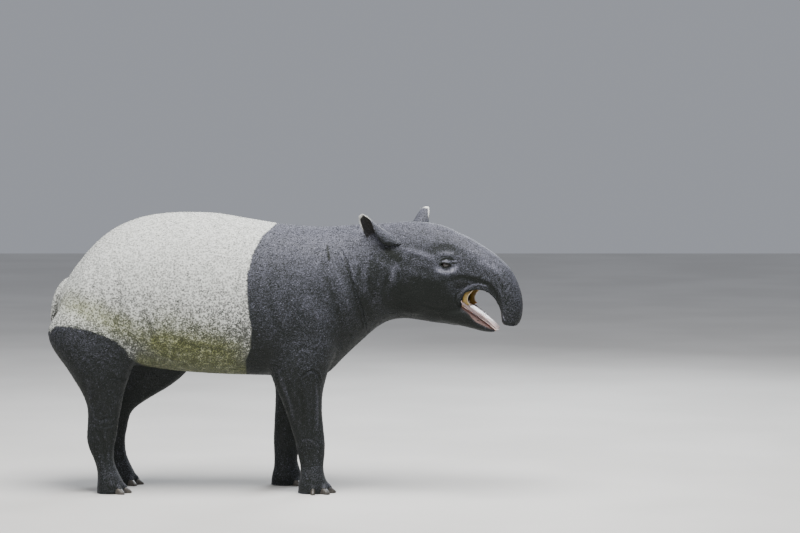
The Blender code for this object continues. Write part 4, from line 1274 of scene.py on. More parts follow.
def round_eyes(flat):
    """How much the skin is smoothed round the lids, so that they grow out of the face."""
    apart = eye_distance(flat)
    inner = LEAST_SMOOTHED + (1 - LEAST_SMOOTHED) * smooth_step(apart, *SMOOTHED_FROM)
    return inner * (1 - smooth_step(apart, *SMOOTHED_TO))


def almond(side):
    """The bar that opens the lids, pointed at its corners."""
    half_width, half_height = LID_OPENING
    place = bent_frame(beside(EYE_AT, side))
    rings = []
    for depth in (0.0, 3 * EYE_RADIUS):
        ring = []
        for angle in angles(LID_POINTS):
            c, s = math.cos(angle), math.sin(angle)
            up = half_height * s * (1 - LID_POINTING * c * c)
            ring.append(place @ Vector((half_width * c, side * depth, up + LID_SLANT * half_width * c)))
        rings.append(ring)
    return loft("almond", rings)


def ear_form(name):
    """A cupped leaf with thin margins, as rings of points.

    Each point has its distances from the root, the tip and the margin, and its face.
    """
    root, tip, opens, bow = EARS[name]
    root, tip = Vector(root), Vector(tip)
    way = (tip - root).normalized()
    out = Vector(opens)
    out = (out - way * out.dot(way)).normalized()
    broad = way.cross(out)
    upper = math.copysign(1, broad.z)
    length = (tip - root).length - EAR_SHORT
    rings, shares = [], []
    for share, half, cup in through(EAR_FORM, EAR_RINGS):
        angle = math.radians(cup)
        radius = half / math.sin(min(angle, math.pi / 2))
        middle = root + way * (length * share) + broad * (bow * 4 * share * (1 - share))
        thick = (EAR_THICKNESS * (1 - EAR_THINNING * share**4) - EAR_THINNER) / 2
        curl = math.sin(math.pi * min(share * EAR_CURL_SHORT, 1))
        ring, row = [], []
        for face in (1, -1):
            for step in range(EAR_STEPS + 1):
                u = (2 * step / EAR_STEPS - 1) * face
                fold = EAR_CURL * max(upper * u, 0) ** 3 * curl
                turn = angle * u * (1 + fold)
                from_axis = radius * (1 - EAR_CURL_IN * fold) + thick * face * (1 - EAR_EDGE * abs(u) ** 3)
                sideways = broad * (from_axis * math.sin(turn))
                deep = out * (radius * math.cos(angle) * EAR_DEPTH - from_axis * math.cos(turn))
                ring.append(bend(middle + sideways + deep))
                row.append((share * length, (1 - share) * length, (1 - abs(u)) * angle * radius, face))
        rings.append(ring)
        shares.append(row)
    return rings, shares


def skin():
    """The whole animal's skin with its folds, and the tree that rays from the camera meet."""
    pieces = [trunk(), snout(), jaw()]
    pieces += [rod("lip", through(LIP, LIP_RINGS), SMALL_SEGMENTS, side=side) for side in (-1, 1)]
    for (fore, left), edges in EDGES.items():
        pieces.append(leg(edges, FORE_SIDES if fore else HIND_SIDES, 1 if left else -1))
    for centre, radii, lean in MUSCLES:
        pieces += [ball("muscle", beside(centre, side), radii, lean) for side in (-1, 1)]
    for foot, (_, _, toes) in FEET.items():
        pieces += [toe_flesh(foot, toe) for toe in toes]
    made = joined("hide", pieces)
    remesh = made.modifiers.new("one skin", "REMESH")
    remesh.mode = "VOXEL"
    remesh.voxel_size = HIDE_VOXEL
    apply_modifiers(made)
    places = read(made)
    relax(made, np.minimum(graded(places[:, 0], SOFT_ALONG), graded(places[:, 2], SOFT_UP)), SMOOTHINGS)
    refine(made, in_wrinkles)
    for region, passes in zip((in_head, in_face, near_eyes), REFINED):
        refine(made, region)
        relax(made, region(straight(read(made))) * 1.0, passes)
    tree = BVHTree.FromObject(made, bpy.context.evaluated_depsgraph_get())

    places, normals = read(made), read(made, "normal")
    flat = straight(places)
    depth = np.minimum(graded(flat[:, 0], COAT_DEPTH), graded(flat[:, 2], FEET_COAT))
    lift = marks(flat, FOLDS, tree, BANKS) / 1000
    write(made, places + normals * (lift - depth)[:, None])

    for side in (-1, 1):
        combine(made, eye_ball("lid", side, EYE_RADIUS + LID - COAT_DEPTH[1][1], LID_SEGMENTS), "UNION")
    relax(made, round_eyes(straight(read(made))), LID_SMOOTHINGS)
    flat = straight(read(made))
    tip = smooth_step(flat[:, 0], *SNOUT_TIP) * (1 - smooth_step(flat[:, 2], *SNOUT_TIP_UP))
    relax(made, tip, TIP_SMOOTHINGS)
    for side in (-1, 1):
        combine(made, eye_ball("socket", side, EYE_RADIUS - SOCKET_INSIDE, SOCKET_SEGMENTS))
        combine(made, almond(side))
        combine(made, ball("nostril", beside(NOSTRIL_AT, side), NOSTRIL_RADII))
    combine(made, ball("throat", THROAT_AT, THROAT_RADII, segments=THROAT_SEGMENTS))
    tail_rings, tail_points = TAIL_SHAPE
    combine(made, rod("tail", through(TAIL, tail_rings), tail_points, grow=TAIL_INSIDE), "UNION")
    for name in EARS:
        combine(made, loft(name, ear_form(name)[0]), "UNION")
    return made, tree


def ear_marks(places):
    """How white the ears' margins are, which places are on an ear, and which inside its cup."""
    rim = np.zeros(len(places))
    on_ear = np.zeros(len(places), bool)
    cup = np.zeros(len(places))
    for name in EARS:
        rings, shares = ear_form(name)
        points = [point for ring in rings for point in ring]
        rows = [row for ring in shares for row in ring]
        tree = KDTree(len(points))
        for i, point in enumerate(points):
            tree.insert(point, i)
        tree.balance()
        low = np.min(points, axis=0) - EAR_ROOM
        high = np.max(points, axis=0) + EAR_ROOM
        for i in np.nonzero(((places > low) & (places < high)).all(1))[0]:
            _, nearest, distance = tree.find(places[i])
            from_root, from_tip, from_edge, face = rows[nearest]
            if distance < ON_EAR[0] and from_root > ON_EAR[1]:
                on_ear[i] = True
                margin = (1 - smooth_step(from_edge, *RIM_WIDTH)) * (1 - smooth_step(from_tip, *RIM_REACH))
                rim[i] = max(margin, 1 - smooth_step(from_tip, *RIM_TIP))
                cup[i] = 1.0 if face < 0 else 0.0
    return rim, on_ear, cup


def white_of(flat, tree):
    """How much of the white marking there is at places on the straight animal."""
    front = on_skin(SADDLE_FRONT, tree)[::-1]
    rear = on_skin(SADDLE_REAR, tree)
    along, across, up = flat.T
    edge = np.interp(up, front[:, 2], front[:, 0])
    before = smooth_step(edge - along, -SADDLE_SOFT, SADDLE_SOFT)
    shifted = along - LEFT_LEG_AHEAD * smooth_step(across, *MIDLINE)
    height = np.interp(shifted, rear[:, 0], rear[:, 2])
    height -= BELLY_BELOW * smooth_step(shifted, *BELLY_WHITE)
    above = smooth_step(up - height, -SADDLE_SOFT, SADDLE_SOFT)
    return before * above


def paint(made, tree):
    """The markings and tones of the skin, with its painted light and shade, as values at its vertices."""
    places, normals = read(made), read(made, "normal")
    flat = straight(places)
    along, across, up = flat.T
    facing = normals[:, 2]
    attribute(made, "white", white_of(flat, tree))
    olive_tint = np.clip(marks(flat, OLIVE_TINTS, tree), 0, 1)
    # painted shade on the saddle's underside, which faces down, in the olive colours
    under = smooth_step(-facing, *UNDER_FACING) * (up > UNDER_ABOVE)
    attribute(made, "olive_tint", np.maximum(olive_tint, under))
    # painted shade in the folds and painted highlights on their ridges and banks, from their heights
    folds = np.clip(marks(flat, FOLDS, tree, BANKS), -FOLD_PAINTED_LIGHT_MOST, FOLD_PAINTED_LIGHT_MOST)
    marks_and_painted_light = marks(flat, TONES, tree) + FOLD_PAINTED_LIGHT * folds
    # painted light on the hide that faces up, painted shade where it faces down
    marks_and_painted_light += UP_PAINTED_LIGHT * smooth_step(facing, *UP_FACING)
    marks_and_painted_light -= DOWN_PAINTED_SHADE * smooth_step(-facing, *DOWN_FACING)
    slant = (along - EYE_AT[0]) * LID_SLANT
    oval = np.hypot((along - EYE_AT[0]) / LID_OPENING[0], (up - EYE_AT[2] - slant) / LID_OPENING[1])
    marks_and_painted_light -= LID_EDGE_DARKER * (1 - smooth_step(oval, *LID_EDGE)) * (eye_distance(flat) < LID_EDGE_WITHIN)
    # painted shade on the hide low down, near the floor
    marks_and_painted_light -= LOW_PAINTED_SHADE * (1 - smooth_step(up, *LOW_BELOW))
    attribute(made, "marks_and_painted_light", np.clip(marks_and_painted_light, *SHADES))
    rim, on_ear, cup = ear_marks(places)
    attribute(made, "rim", rim)
    # the inner face of each ear's cup, which gets painted shade
    attribute(made, "cup", cup * on_ear)
    palate = smooth_step(-facing, *PALATE_FACING) * (along > MOUTH_BACK) * inside_of(up, PALATE_UP)
    palate *= 1 - smooth_step(along, *PALATE_FADES)
    floor = (facing > MOUTH_FLOOR_FACING) & inside_of(along, (MOUTH_BACK, MOUTH_FLOOR_FRONT))
    floor &= inside_of(up, MOUTH_FLOOR_UP)
    attribute(made, "inner", (np.abs(across) < MOUTH_HALF) * np.maximum(palate, floor))
    attribute(made, "tone", np.zeros(len(places)))
    return on_ear


def lie(flat):
    """The way the coat lies at places on the straight animal."""
    along, across, up = flat.T
    ways = np.tile(LIE_BODY, (len(flat), 1))
    throat = smooth_step(along, *THROAT_FROM) * (1 - smooth_step(up, *THROAT_BELOW))
    throat *= 1 - smooth_step(along, *THROAT_TO)
    for share, way in (
        (1 - smooth_step(up, *LEG_ENDS), LIE_LEGS),
        (1 - smooth_step(along, *RUMP_TO), LIE_RUMP),
        (throat, LIE_THROAT),
    ):
        ways = ways * (1 - share[:, None]) + np.array(way) * share[:, None]
    line = through(SNOUT, SNOUT_RINGS)
    middle = np.column_stack(((line[:, 0] + line[:, 2]) / 2, (line[:, 1] + line[:, 3]) / 2))
    back = -np.gradient(middle, axis=0)
    back /= np.linalg.norm(back, axis=1)[:, None]
    ahead = np.nonzero((along > SNOUT[0][0]) & (up > SNOUT_ABOVE))[0]
    apart = np.linalg.norm(flat[ahead][:, None, ::2] - middle[None], axis=2)
    nearest = apart.argmin(1)
    on_snout = (smooth_step(along[ahead], *SNOUT_FROM) * (apart.min(1) < SNOUT_NEAR))[:, None]
    way = np.column_stack((back[nearest, 0], np.zeros(len(ahead)), back[nearest, 1]))
    ways[ahead] = ways[ahead] * (1 - on_snout) + way * on_snout
    return ways


def chart(flat):
    """An unwrap of the skin's own shape: the trunk and head laid out by angle, and each leg below them."""
    along, across, up = flat.T
    rows = through(TRUNK, CHART_RINGS)
    middle = np.interp(along, rows[:, 0], (rows[:, 1] + rows[:, 2]) / 2)
    turn = np.arctan2(across, up - middle) / (2 * math.pi) + 0.5
    start_u, size_u, start_v, size_v = CHART_TRUNK
    u = start_u + size_u * along / BODY_LENGTH
    v = start_v + size_v * turn
    start_u, size_u, start_v, size_v = CHART_LEGS
    on_leg = (up < LEG_ENDS[0]) & (along < LEG_LIMIT)
    for (fore, left), edges in EDGES.items():
        chosen = on_leg & ((along > LEGS_APART) == fore) & ((across > 0) == left)
        heights, near, far = np.array(edges[::-1]).T
        axis = (np.interp(up[chosen], heights, near) + np.interp(up[chosen], heights, far)) / 2
        side = np.abs(across[chosen]) - LEG_ACROSS
        around = np.arctan2(side, along[chosen] - axis) / (2 * math.pi) + 0.5
        u[chosen] = start_u + CHART_LEG_STEP * (2 * fore + left) + size_u * around
        v[chosen] = start_v + size_v * up[chosen] / LEG_ENDS[0]
    return np.column_stack((u, v))


def wander(flat, seed):
    """A slow, smooth swirl between -1 and 1 over the animal."""
    rng = np.random.default_rng(seed)
    count, closeness, divisor = SWIRL_WAVES
    total = np.zeros(len(flat))
    for _ in range(count):
        wave = rng.normal(0, closeness, 3)
        total += np.sin(flat @ wave + rng.uniform(0, 2 * math.pi))
    return total / divisor


def tuft_mesh(name, roots, ways, normals, sizes, values, patches, material):
    """Closed curved spikes of ten triangles each, at the roots. Sizes are length, half width and lean."""
    length, half, lean = sizes.T
    side = np.cross(ways, normals)
    up = lean[:, None]
    first = ways * np.cos(up) + normals * np.sin(up)
    second = ways * np.cos(up * TIP_LEAN) + normals * np.sin(up * TIP_LEAN)
    base = roots - normals * ROOT_DEPTH
    middle = base + first * (TUFT_KNEE * length)[:, None]
    tip = middle + second * ((1 - TUFT_KNEE) * length)[:, None]
    half = half[:, None]
    thick = normals * half * TUFT_FLATNESS
    corners = np.stack((
        base - side * half * TUFT_ROOT, base + side * half * TUFT_ROOT, base + thick,
        middle - side * half, middle + side * half, middle + thick,
        tip,
    ), axis=1)
    points = len(TUFT_PATCH)
    starts = points * np.arange(len(roots))
    triangles = (np.array(TUFT_FACES)[None] + starts[:, None, None]).reshape(-1, 3)
    mesh = bpy.data.meshes.new(name)
    mesh.vertices.add(len(roots) * points)
    mesh.vertices.foreach_set("co", corners.astype(np.float32).ravel())
    mesh.loops.add(len(triangles) * 3)
    mesh.loops.foreach_set("vertex_index", triangles.astype(np.int32).ravel())
    mesh.polygons.add(len(triangles))
    mesh.polygons.foreach_set("loop_start", np.arange(0, len(triangles) * 3, 3, dtype=np.int32))
    mesh.update(calc_edges=True)
    made = in_scene(name, mesh)
    for key, column in values.items():
        attribute(made, key, np.repeat(column, points))
    spots = patches[:, None, :] + (np.array(TUFT_PATCH) * PATCH)[None]
    layer = mesh.uv_layers.new(name="OFBake")
    layer.data.foreach_set("uv", spots.reshape(-1, 2)[triangles.ravel()].astype(np.float32).ravel())
    mesh.materials.append(material)
    smooth_faces(made)
    return made


def part_of_coat(flat, on_ear):
    """The number of the coat piece that each place belongs to."""
    along, _, up = flat.T
    on_leg = up < COAT_LEGS_BELOW
    tests = [on_ear, on_leg & (along < LEGS_APART), on_leg & (along < LEG_LIMIT)]
    names = ["coat_ears", "coat_hindlegs", "coat_forelegs"]
    for name, start in COAT_FROM:
        tests.append(along > start)
        names.append(name)
    order = [name for name, _ in COAT_PIECES]
    return np.select(tests, [order.index(name) for name in names], order.index("coat_rump"))


def coat(made, on_ear, material):
    """Short tufts all over the skin, in pieces."""
    rng = np.random.default_rng(COAT_SEED)
    places, normals = read(made), read(made, "normal")
    flat = straight(places)
    faces = triangles_of(made)
    corners = places[faces]
    crosses = np.cross(corners[:, 1] - corners[:, 0], corners[:, 2] - corners[:, 0])
    areas = np.linalg.norm(crosses, axis=1) / 2
    centre = flat[faces].mean(1)
    along, across, up = centre.T
    ear_face = on_ear[faces].all(1)
    dense = graded(along, TUFT_DENSITY)
    dense = np.where(up < LEGS_DENSER[0], dense * LEGS_DENSER[1], dense)
    dense = np.where(ear_face, EAR_DENSITY, dense)
    bare = values_of(made, "inner")[faces].max(1) > BARE_INNER
    bare |= up < BARE_SOLES
    from_eye = eye_apart(centre, BARE_LIDS_OUT)
    bare |= from_eye < BARE_LIDS**2
    for hole_at, radii in ((NOSTRIL_AT, NOSTRIL_RADII), (THROAT_AT, THROAT_RADII)):
        apart = np.column_stack((along, np.abs(across), up)) - np.array(hole_at)
        bare |= ((apart / (np.array(radii) + BARE_HOLES)) ** 2).sum(1) < 1
    weights = np.where(bare, 0, areas * dense)
    count = int(weights.sum() * TUFTS)
    chosen = np.searchsorted(np.cumsum(weights) / weights.sum(), rng.random(count))
    chosen = np.minimum(chosen, len(faces) - 1)
    a, b = rng.random((2, count))
    over = a + b > 1
    a, b = np.where(over, 1 - a, a), np.where(over, 1 - b, b)
    shares = np.column_stack((1 - a - b, a, b))[:, :, None]
    roots = (corners[chosen] * shares).sum(1)
    facing = (normals[faces[chosen]] * shares).sum(1)
    facing /= np.linalg.norm(facing, axis=1)[:, None]
    where = straight(roots)
    on_this_ear = ear_face[chosen]
    ways = lie(where)
    for root, tip, _, _ in EARS.values():
        way = np.array(tip) - np.array(root)
        ways[on_this_ear & ((where[:, 1] > 0) == (root[1] > 0))] = way / np.linalg.norm(way)
    ways = swung(ways, where[:, 0])
    turn = SWIRL * wander(where, COAT_SEED + 1) + rng.normal(0, STRAY, count)
    ways -= facing * (ways * facing).sum(1)[:, None]
    ways /= np.maximum(np.linalg.norm(ways, axis=1), 1e-6)[:, None]
    ways = ways * np.cos(turn)[:, None] + np.cross(facing, ways) * np.sin(turn)[:, None]

    long = np.minimum(graded(where[:, 0], TUFT_LENGTH), graded(where[:, 2], TUFT_LENGTH_UP))
    long = np.minimum(long, graded(np.sqrt(from_eye[chosen]), TUFT_LENGTH_EYE))
    long = np.where(on_this_ear, EAR_HAIR, long)
    long *= rng.uniform(*LENGTH_VARIES, count)
    half = np.clip(long * TUFT_BREADTH, *TUFT_HALF) * rng.uniform(*BREADTH_VARIES, count)
    sizes = np.column_stack((long, half, rng.uniform(*TUFT_LEAN, count)))
    values = {}
    for key in ("white", "olive_tint", "marks_and_painted_light", "rim", "inner", "cup"):
        values[key] = (values_of(made, key)[faces[chosen]] * shares[:, :, 0]).sum(1)
    values["tone"] = rng.normal(0, TONE_VARIES, count).clip(-1, 1)
    patches = chart(where)
    part = part_of_coat(where, on_this_ear)
    pieces = []
    for number, (name, slot) in enumerate(COAT_PIECES):
        mine = part == number
        own = {key: column[mine] for key, column in values.items()}
        rows = (column[mine] for column in (roots, ways, facing, sizes))
        pieces.append((tuft_mesh(name, *rows, own, patches[mine], material), slot))
    return pieces


def new_material(name):
    material = bpy.data.materials.new(name)
    material.use_nodes = True
    tree = material.node_tree
    return material, tree, tree.nodes["Principled BSDF"]


def set_sockets(shader, numbers):
    for name, number in numbers.items():
        shader.inputs[name].default_value = number


def plug(tree, socket, value):
    if isinstance(value, bpy.types.NodeSocket):
        tree.links.new(value, socket)
    elif isinstance(value, tuple) and socket.type == "RGBA":
        socket.default_value = (*value, 1)
    else:
        socket.default_value = value


def node(tree, kind, settings=None, **inputs):
    """A node with its settings and its inputs by name, each a number, a colour or another node's output."""
    made = tree.nodes.new("ShaderNode" + kind)
    for name, value in (settings or {}).items():
        setattr(made, name, value)
    for name, value in inputs.items():
        plug(tree, made.inputs[name.replace("_", " ")], value)
    return made


def maths(tree, operation, *values):
    made = node(tree, "Math", {"operation": operation})
    for socket, value in zip(made.inputs, values):
        plug(tree, socket, value)
    return made.outputs[0]


def blend(tree, share, a, b):
    """A mix of two colours."""
    made = node(tree, "Mix", {"data_type": "RGBA"})
    for socket, value in ((0, share), (6, a), (7, b)):
        plug(tree, made.inputs[socket], value)
    return made.outputs[2]


def between(tree, value, low, high, start=0.0, end=1.0):
    """Start below low, end above high, and smooth in between."""
    made = node(
        tree, "MapRange", {"interpolation_type": "SMOOTHSTEP"},
        Value=value, From_Min=low, From_Max=high, To_Min=start, To_Max=end,
    )
    return made.outputs[0]


def noise(tree, place, scale, detail=2.0, rough=0.5, distortion=0.0):
    made = node(tree, "TexNoise", Vector=place, Scale=scale, Detail=detail, Roughness=rough)
    made.inputs["Distortion"].default_value = distortion
    return made.outputs["Fac"]


def value_at(tree, name):
    return node(tree, "Attribute", {"attribute_name": name}).outputs["Fac"]


def swayed(tree, total, noises, others=()):
    """A number that noises push up and down, each by its strength, and to which other values are added."""
    for value, strength in noises:
        total = maths(tree, "MULTIPLY_ADD", maths(tree, "SUBTRACT", value, 0.5), strength, total)
    for value, strength in others:
        total = maths(tree, "MULTIPLY_ADD", value, strength, total)
    return total


def hide_material(name, is_coat):
    """Black and white hide. On the coat every tuft has its own tone, and under it the skin has wrinkles."""
    material, tree, shader = new_material(name)
    place = node(tree, "TexCoord").outputs["Object"]
    hairs, flecks, patches, broad = (noise(tree, place, *kind) for kind in (HAIRS, FLECKS, PATCHES, BROAD))
    tone = value_at(tree, "tone")
    # the hide's own pale and dark marks, with painted light and shade, from its vertices
    marks_and_painted_light = value_at(tree, "marks_and_painted_light")

    noises = zip((hairs, flecks, patches, broad), GREY_NOISES)
    grey = swayed(tree, GREY, noises, ((tone, GREY_TONE), (marks_and_painted_light, GREY_MARKS_AND_PAINTED_LIGHT)))
    black = blend(tree, between(tree, grey, *BLACK_LIGHTENS), BLACK_DARK, BLACK_LIGHT)
    black = blend(tree, between(tree, grey, *SKIN_SHOWS), black, GREY_SKIN)

    height = node(tree, "SeparateXYZ", Vector=place).outputs["Z"]
    low = between(tree, height, *SPECKS_LOW)
    speck = maths(tree, "MULTIPLY_ADD", hairs, SPECK_HAIRS, maths(tree, "MULTIPLY", flecks, SPECK_FLECKS))
    others = ((low, 1.0), (tone, SPECK_TONE), (marks_and_painted_light, SPECK_MARKS_AND_PAINTED_LIGHT))
    speck = swayed(tree, speck, ((patches, SPECK_PATCHES),), others)
    cells = node(tree, "TexVoronoi", Vector=place, Scale=PORES).outputs["Distance"]
    pores = maths(tree, "MULTIPLY", between(tree, cells, *PORE_EDGE), between(tree, height, *PORES_UP))
    dark = maths(tree, "MAXIMUM", between(tree, speck, *SPECK_EDGE), pores)
    pale = blend(tree, dark, WHITE_CLEAN, WHITE_FLECK)
    # olive tint and the painted shade of the saddle's underside, broken into patches
    olive_tint = maths(tree, "MULTIPLY", value_at(tree, "olive_tint"), between(tree, patches, *OLIVE_PATCHES))
    dark = maths(tree, "MAXIMUM", between(tree, speck, *OLIVE_SPECK_EDGE), pores)
    pale = blend(tree, olive_tint, pale, blend(tree, dark, OLIVE_LIGHT, OLIVE_DARK))

    edge = swayed(tree, value_at(tree, "white"), ((flecks, MARKING_FLECKS), (patches, MARKING_PATCHES)))
    colour = blend(tree, between(tree, edge, *MARKING_EDGE), black, pale)
    # painted shade inside the ears' cups
    colour = blend(tree, maths(tree, "MULTIPLY", value_at(tree, "cup"), EAR_CUP_SHADE_SHARE), colour, EAR_CUP_SHADE)
    colour = blend(tree, value_at(tree, "rim"), colour, RIM)
    colour = blend(tree, value_at(tree, "inner"), colour, GUMS)
    plug(tree, shader.inputs["Base Color"], colour)
    rough = between(tree, hairs, *HAIR_RANGE, *(ROUGH_COAT if is_coat else ROUGH_SKIN))
    plug(tree, shader.inputs["Roughness"], rough)
    set_sockets(shader, HIDE_FINISH)
    if not is_coat:
        relief = maths(tree, "MULTIPLY_ADD", noise(tree, place, *WRINKLES), WRINKLE_SHARE, hairs)
        bump = node(tree, "Bump", Height=relief, Strength=HIDE_BUMP[0], Distance=HIDE_BUMP[1])
        plug(tree, shader.inputs["Normal"], bump.outputs[0])
    return material


def plain_material(name, stretch=(1, 1, 1)):
    """A surface whose colour and relief vary with noise."""
    dark, light, scale, rough, bump, wet, flesh = SURFACES[name]
    material, tree, shader = new_material(name)
    place = node(tree, "TexCoord").outputs["Object"]
    place = node(tree, "Mapping", Vector=place, Scale=Vector(stretch)).outputs[0]
    fine = noise(tree, place, scale, *FINE_GRAIN)
    coarse = noise(tree, place, scale / COARSE_GRAIN[0], COARSE_GRAIN[1])
    coarse = maths(tree, "MULTIPLY", coarse, 1 - FINE_SHARE)
    share = maths(tree, "MULTIPLY_ADD", fine, FINE_SHARE, coarse)
    plug(tree, shader.inputs["Base Color"], blend(tree, between(tree, share, *GRAIN_RANGE), dark, light))
    roughness = between(tree, fine, *GRAIN_RANGE, *(rough * times for times in ROUGH_VARIES))
    plug(tree, shader.inputs["Roughness"], roughness)
    set_sockets(shader, {"Coat Weight": wet, "Coat Roughness": WET_ROUGH})
    if flesh:
        set_sockets(shader, {"Subsurface Weight": flesh, "Subsurface Radius": FLESH_RADIUS})
        set_sockets(shader, {"Subsurface Scale": 1.0})
    if bump:
        relief = node(tree, "Bump", Height=share, Strength=SURFACE_BUMP, Distance=bump)
        plug(tree, shader.inputs["Normal"], relief.outputs[0])
    return material


def eye_material():
    """Pupil, streaked iris and the darker rings round it, by their distance from the eye's axis."""
    material, tree, shader = new_material("eye")
    out = value_at(tree, "from_axis")
    place = node(tree, "TexCoord").outputs["Object"]
    streaks = noise(tree, place, IRIS_STREAKS)
    iris = blend(tree, between(tree, streaks, *IRIS_RANGE), IRIS_DARK, IRIS_LIGHT)
    colour = blend(tree, between(tree, out, *PUPIL_EDGE), PUPIL, iris)
    for edge, outside in EYE_OUTSIDE:
        colour = blend(tree, between(tree, out, *edge), colour, outside)
    plug(tree, shader.inputs["Base Color"], colour)
    set_sockets(shader, EYE_FINISH)
    return material


def eye(name, side, material):
    """An eyeball with a bulging cornea that looks out between the lids."""
    form = bmesh.new()
    bmesh.ops.create_uvsphere(form, u_segments=BALL_RINGS[0], v_segments=BALL_RINGS[1], radius=BALL_RADIUS)
    from_axis = []
    for vertex in form.verts:
        out = math.hypot(vertex.co.x, vertex.co.y)
        in_front = vertex.co.z > 0
        if in_front:
            vertex.co.z += CORNEA * math.exp(-((out / CORNEA_WIDTH) ** 2))
        from_axis.append(out if in_front else EYE_RADIUS)
    turn = Matrix.Rotation(math.radians(-90 * side), 4, "X")
    look = Matrix.Rotation(math.radians(EYE_AHEAD) * -side, 4, "Z")
    form.transform(bent_frame(beside(EYE_AT, side, BALL_OUT)) @ look @ turn)
    made = object_of(name, form)
    attribute(made, "from_axis", from_axis)
    made.data.materials.append(material)
    return made


def fine_hoof(name, foot, toe, material):
    """A hoof with growth rings, flat on the floor and rounded at its tip."""
    half = toe[3]
    place = toe_place(foot, toe)
    rings = []
    for i, (reach, share, height) in enumerate(through(HOOF, HOOF_RINGS)):
        grown = 1 - HOOF_GROWTH[0] * (0.5 + 0.5 * math.sin(i * HOOF_GROWTH[1]))
        ring = [(reach, -half * share * HOOF_FOOT, 0.0), (reach, half * share * HOOF_FOOT, 0.0)]
        for step in range(HOOF_STEPS + 1):
            c, s = rounded(math.pi * step / HOOF_STEPS, HOOF_SQUARENESS)
            up = height * grown * s * HOOF_WALL + height * (1 - HOOF_WALL)
            ring.append((reach, half * share * grown * c, up))
        rings.append([place @ Vector(point) for point in ring])
    made = loft(name, rings)
    made.data.materials.append(material)
    return made


def mouth(materials):
    """The yellow folds of the cheeks in the corners of the mouth, their pale rims and the lower lip."""
    made = []
    for key, (places, across, half, kind) in MOUTH_RODS.items():
        line = at_side([place[:2] for place in places], -across[0])
        rows = []
        for i, (along, _, up) in enumerate(line):
            share = i / (len(line) - 1)
            slim = 1 - ROD_TAPER * abs(2 * share - 1) ** 3
            rows.append((along, across[0] + (across[1] - across[0]) * share, up, half * slim, places[i][2]))
        for side, word in ((-1, "right"), (1, "left")):
            piece = rod(f"{key}_{word}", through(rows, ROD_STEPS * len(rows)), ROD_POINTS, side=side)
            piece.data.materials.append(materials[kind])
            made.append(piece)
    return made


def fine_tongue(material):
    """The tongue, hollowed along its middle."""
    rings, points = TONGUE_SHAPE
    sections = through(TONGUE, rings)
    sections[:, 2] -= TONGUE_THINNER * sections[:, 4]
    sections[:, 4] *= 1 - TONGUE_THINNER
    made = rod("tongue_fine", sections, points, TONGUE_SQUARENESS, grow=TONGUE_INSIDE)
    places = read(made)
    along, across, _ = straight(places).T
    facing = read(made, "normal")[:, 2]
    groove = np.exp(-((across / GROOVE[1]) ** 2)) * (facing > GROOVE_FACING)
    groove *= smooth_step(along, *GROOVE_FROM) * (1 - smooth_step(along, *GROOVE_TO))
    half = np.interp(along, sections[:, 0], sections[:, 3])
    hollow = np.clip(1 - np.abs(across) / half, 0, 1) * (facing > 0)
    hollow *= smooth_step(along, *HOLLOW_FROM)
    write(made, places - np.array((0, 0, 1)) * (GROOVE[0] * groove + HOLLOW * hollow)[:, None])
    smooth_faces(made)
    made.data.materials.append(material)
    return made


def soft_light(name, place, aim, size, power, colour):
    data = bpy.data.lights.new(name, "AREA")
    data.shape = "DISK"
    data.size = size
    data.energy = power
    data.color = colour
    made = in_scene(name, data)
    made.location = place
    made.rotation_euler = (Vector(aim) - Vector(place)).to_track_quat("-Z", "Y").to_euler()


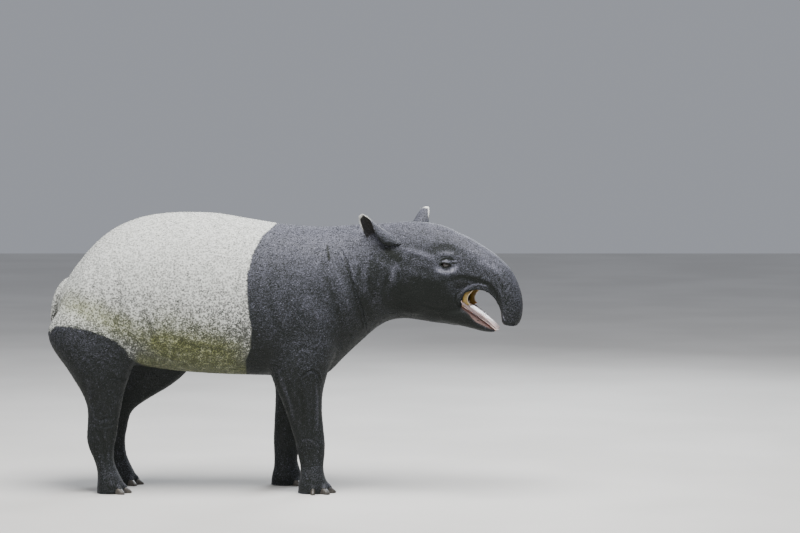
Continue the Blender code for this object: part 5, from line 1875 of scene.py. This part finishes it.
def studio(shift):
    """The photograph's camera, a plain pale floor and soft light, mostly from above."""
    data = bpy.data.cameras.new("camera")
    data.sensor_width = SENSOR
    data.lens = CAMERA_DISTANCE / PIXEL * SENSOR / PHOTO_WIDTH
    camera = in_scene("camera", data)
    camera.location = CAMERA_AT + shift
    camera.rotation_euler = (math.pi / 2 - CAMERA_RISE, 0, 0)
    bpy.context.scene.camera = camera

    form = bmesh.new()
    bmesh.ops.create_grid(form, x_segments=8, y_segments=8, size=FLOOR_HALF)
    floor = object_of("floor", form)
    floor.location = (0, 0, FLOOR_UNDER)
    material, tree, shader = new_material("floor")
    place = node(tree, "TexCoord").outputs["Object"]
    patches = between(tree, noise(tree, place, FLOOR_TINT), *GRAIN_RANGE)
    tint = blend(tree, patches, FLOOR_DARK, FLOOR_LIGHT)
    plug(tree, shader.inputs["Base Color"], tint)
    set_sockets(shader, {"Roughness": FLOOR_ROUGH})
    floor.data.materials.append(material)

    world = bpy.data.worlds.new("studio")
    bpy.context.scene.world = world
    world.use_nodes = True
    set_sockets(world.node_tree.nodes["Background"], {"Color": SKY, "Strength": SKY_STRENGTH})
    for light in LIGHTS:
        soft_light(*light)


def build():
    hide, tree = skin()
    write(hide, np.maximum(read(hide), (-9, -9, SOLE_HEIGHT)))
    smooth_faces(hide)
    on_ear = paint(hide, tree)
    hide.data.materials.clear()
    hide.data.materials.append(hide_material("hide", False))
    coat_material = hide_material("coat", True)
    horn = plain_material("horn", HORN_STRETCH)
    flesh = {name: plain_material(name) for name in SURFACES if name != "horn"}

    # Each piece with its slot and the CAD nodes that it stands for
    pieces = [(hide, "black hide", FLESH + tuple(EARS) + ("tail",))]
    pieces += [(piece, slot, ()) for piece, slot in coat(hide, on_ear, coat_material)]
    glossy = eye_material()
    for name, side in (("eye_right", -1), ("eye_left", 1)):
        pieces.append((eye(name + "_ball", side, glossy), "eye", (name,)))
    for foot, (_, _, toes) in FEET.items():
        for toe in toes:
            name = foot.replace("foot", "hoof") + "_" + toe[0]
            pieces.append((fine_hoof(name + "_fine", foot, toe, horn), "hoof horn", (name,)))
    pieces.append((fine_tongue(flesh["tongue"]), "tongue flesh", ("tongue",)))
    pieces += [(piece, "tongue flesh", ()) for piece in mouth(flesh)]

    low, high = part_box("eye_right")
    shift = (low + high) / 2 - bend(beside(EYE_AT, -1))
    for piece, slot, nodes in pieces:
        write(piece, np.clip(read(piece) + np.array(shift), np.array(CAD_BOX[0]), np.array(CAD_BOX[1])))
        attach(piece, "root")
        if nodes:
            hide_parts(*nodes)
    studio(shift)


build()
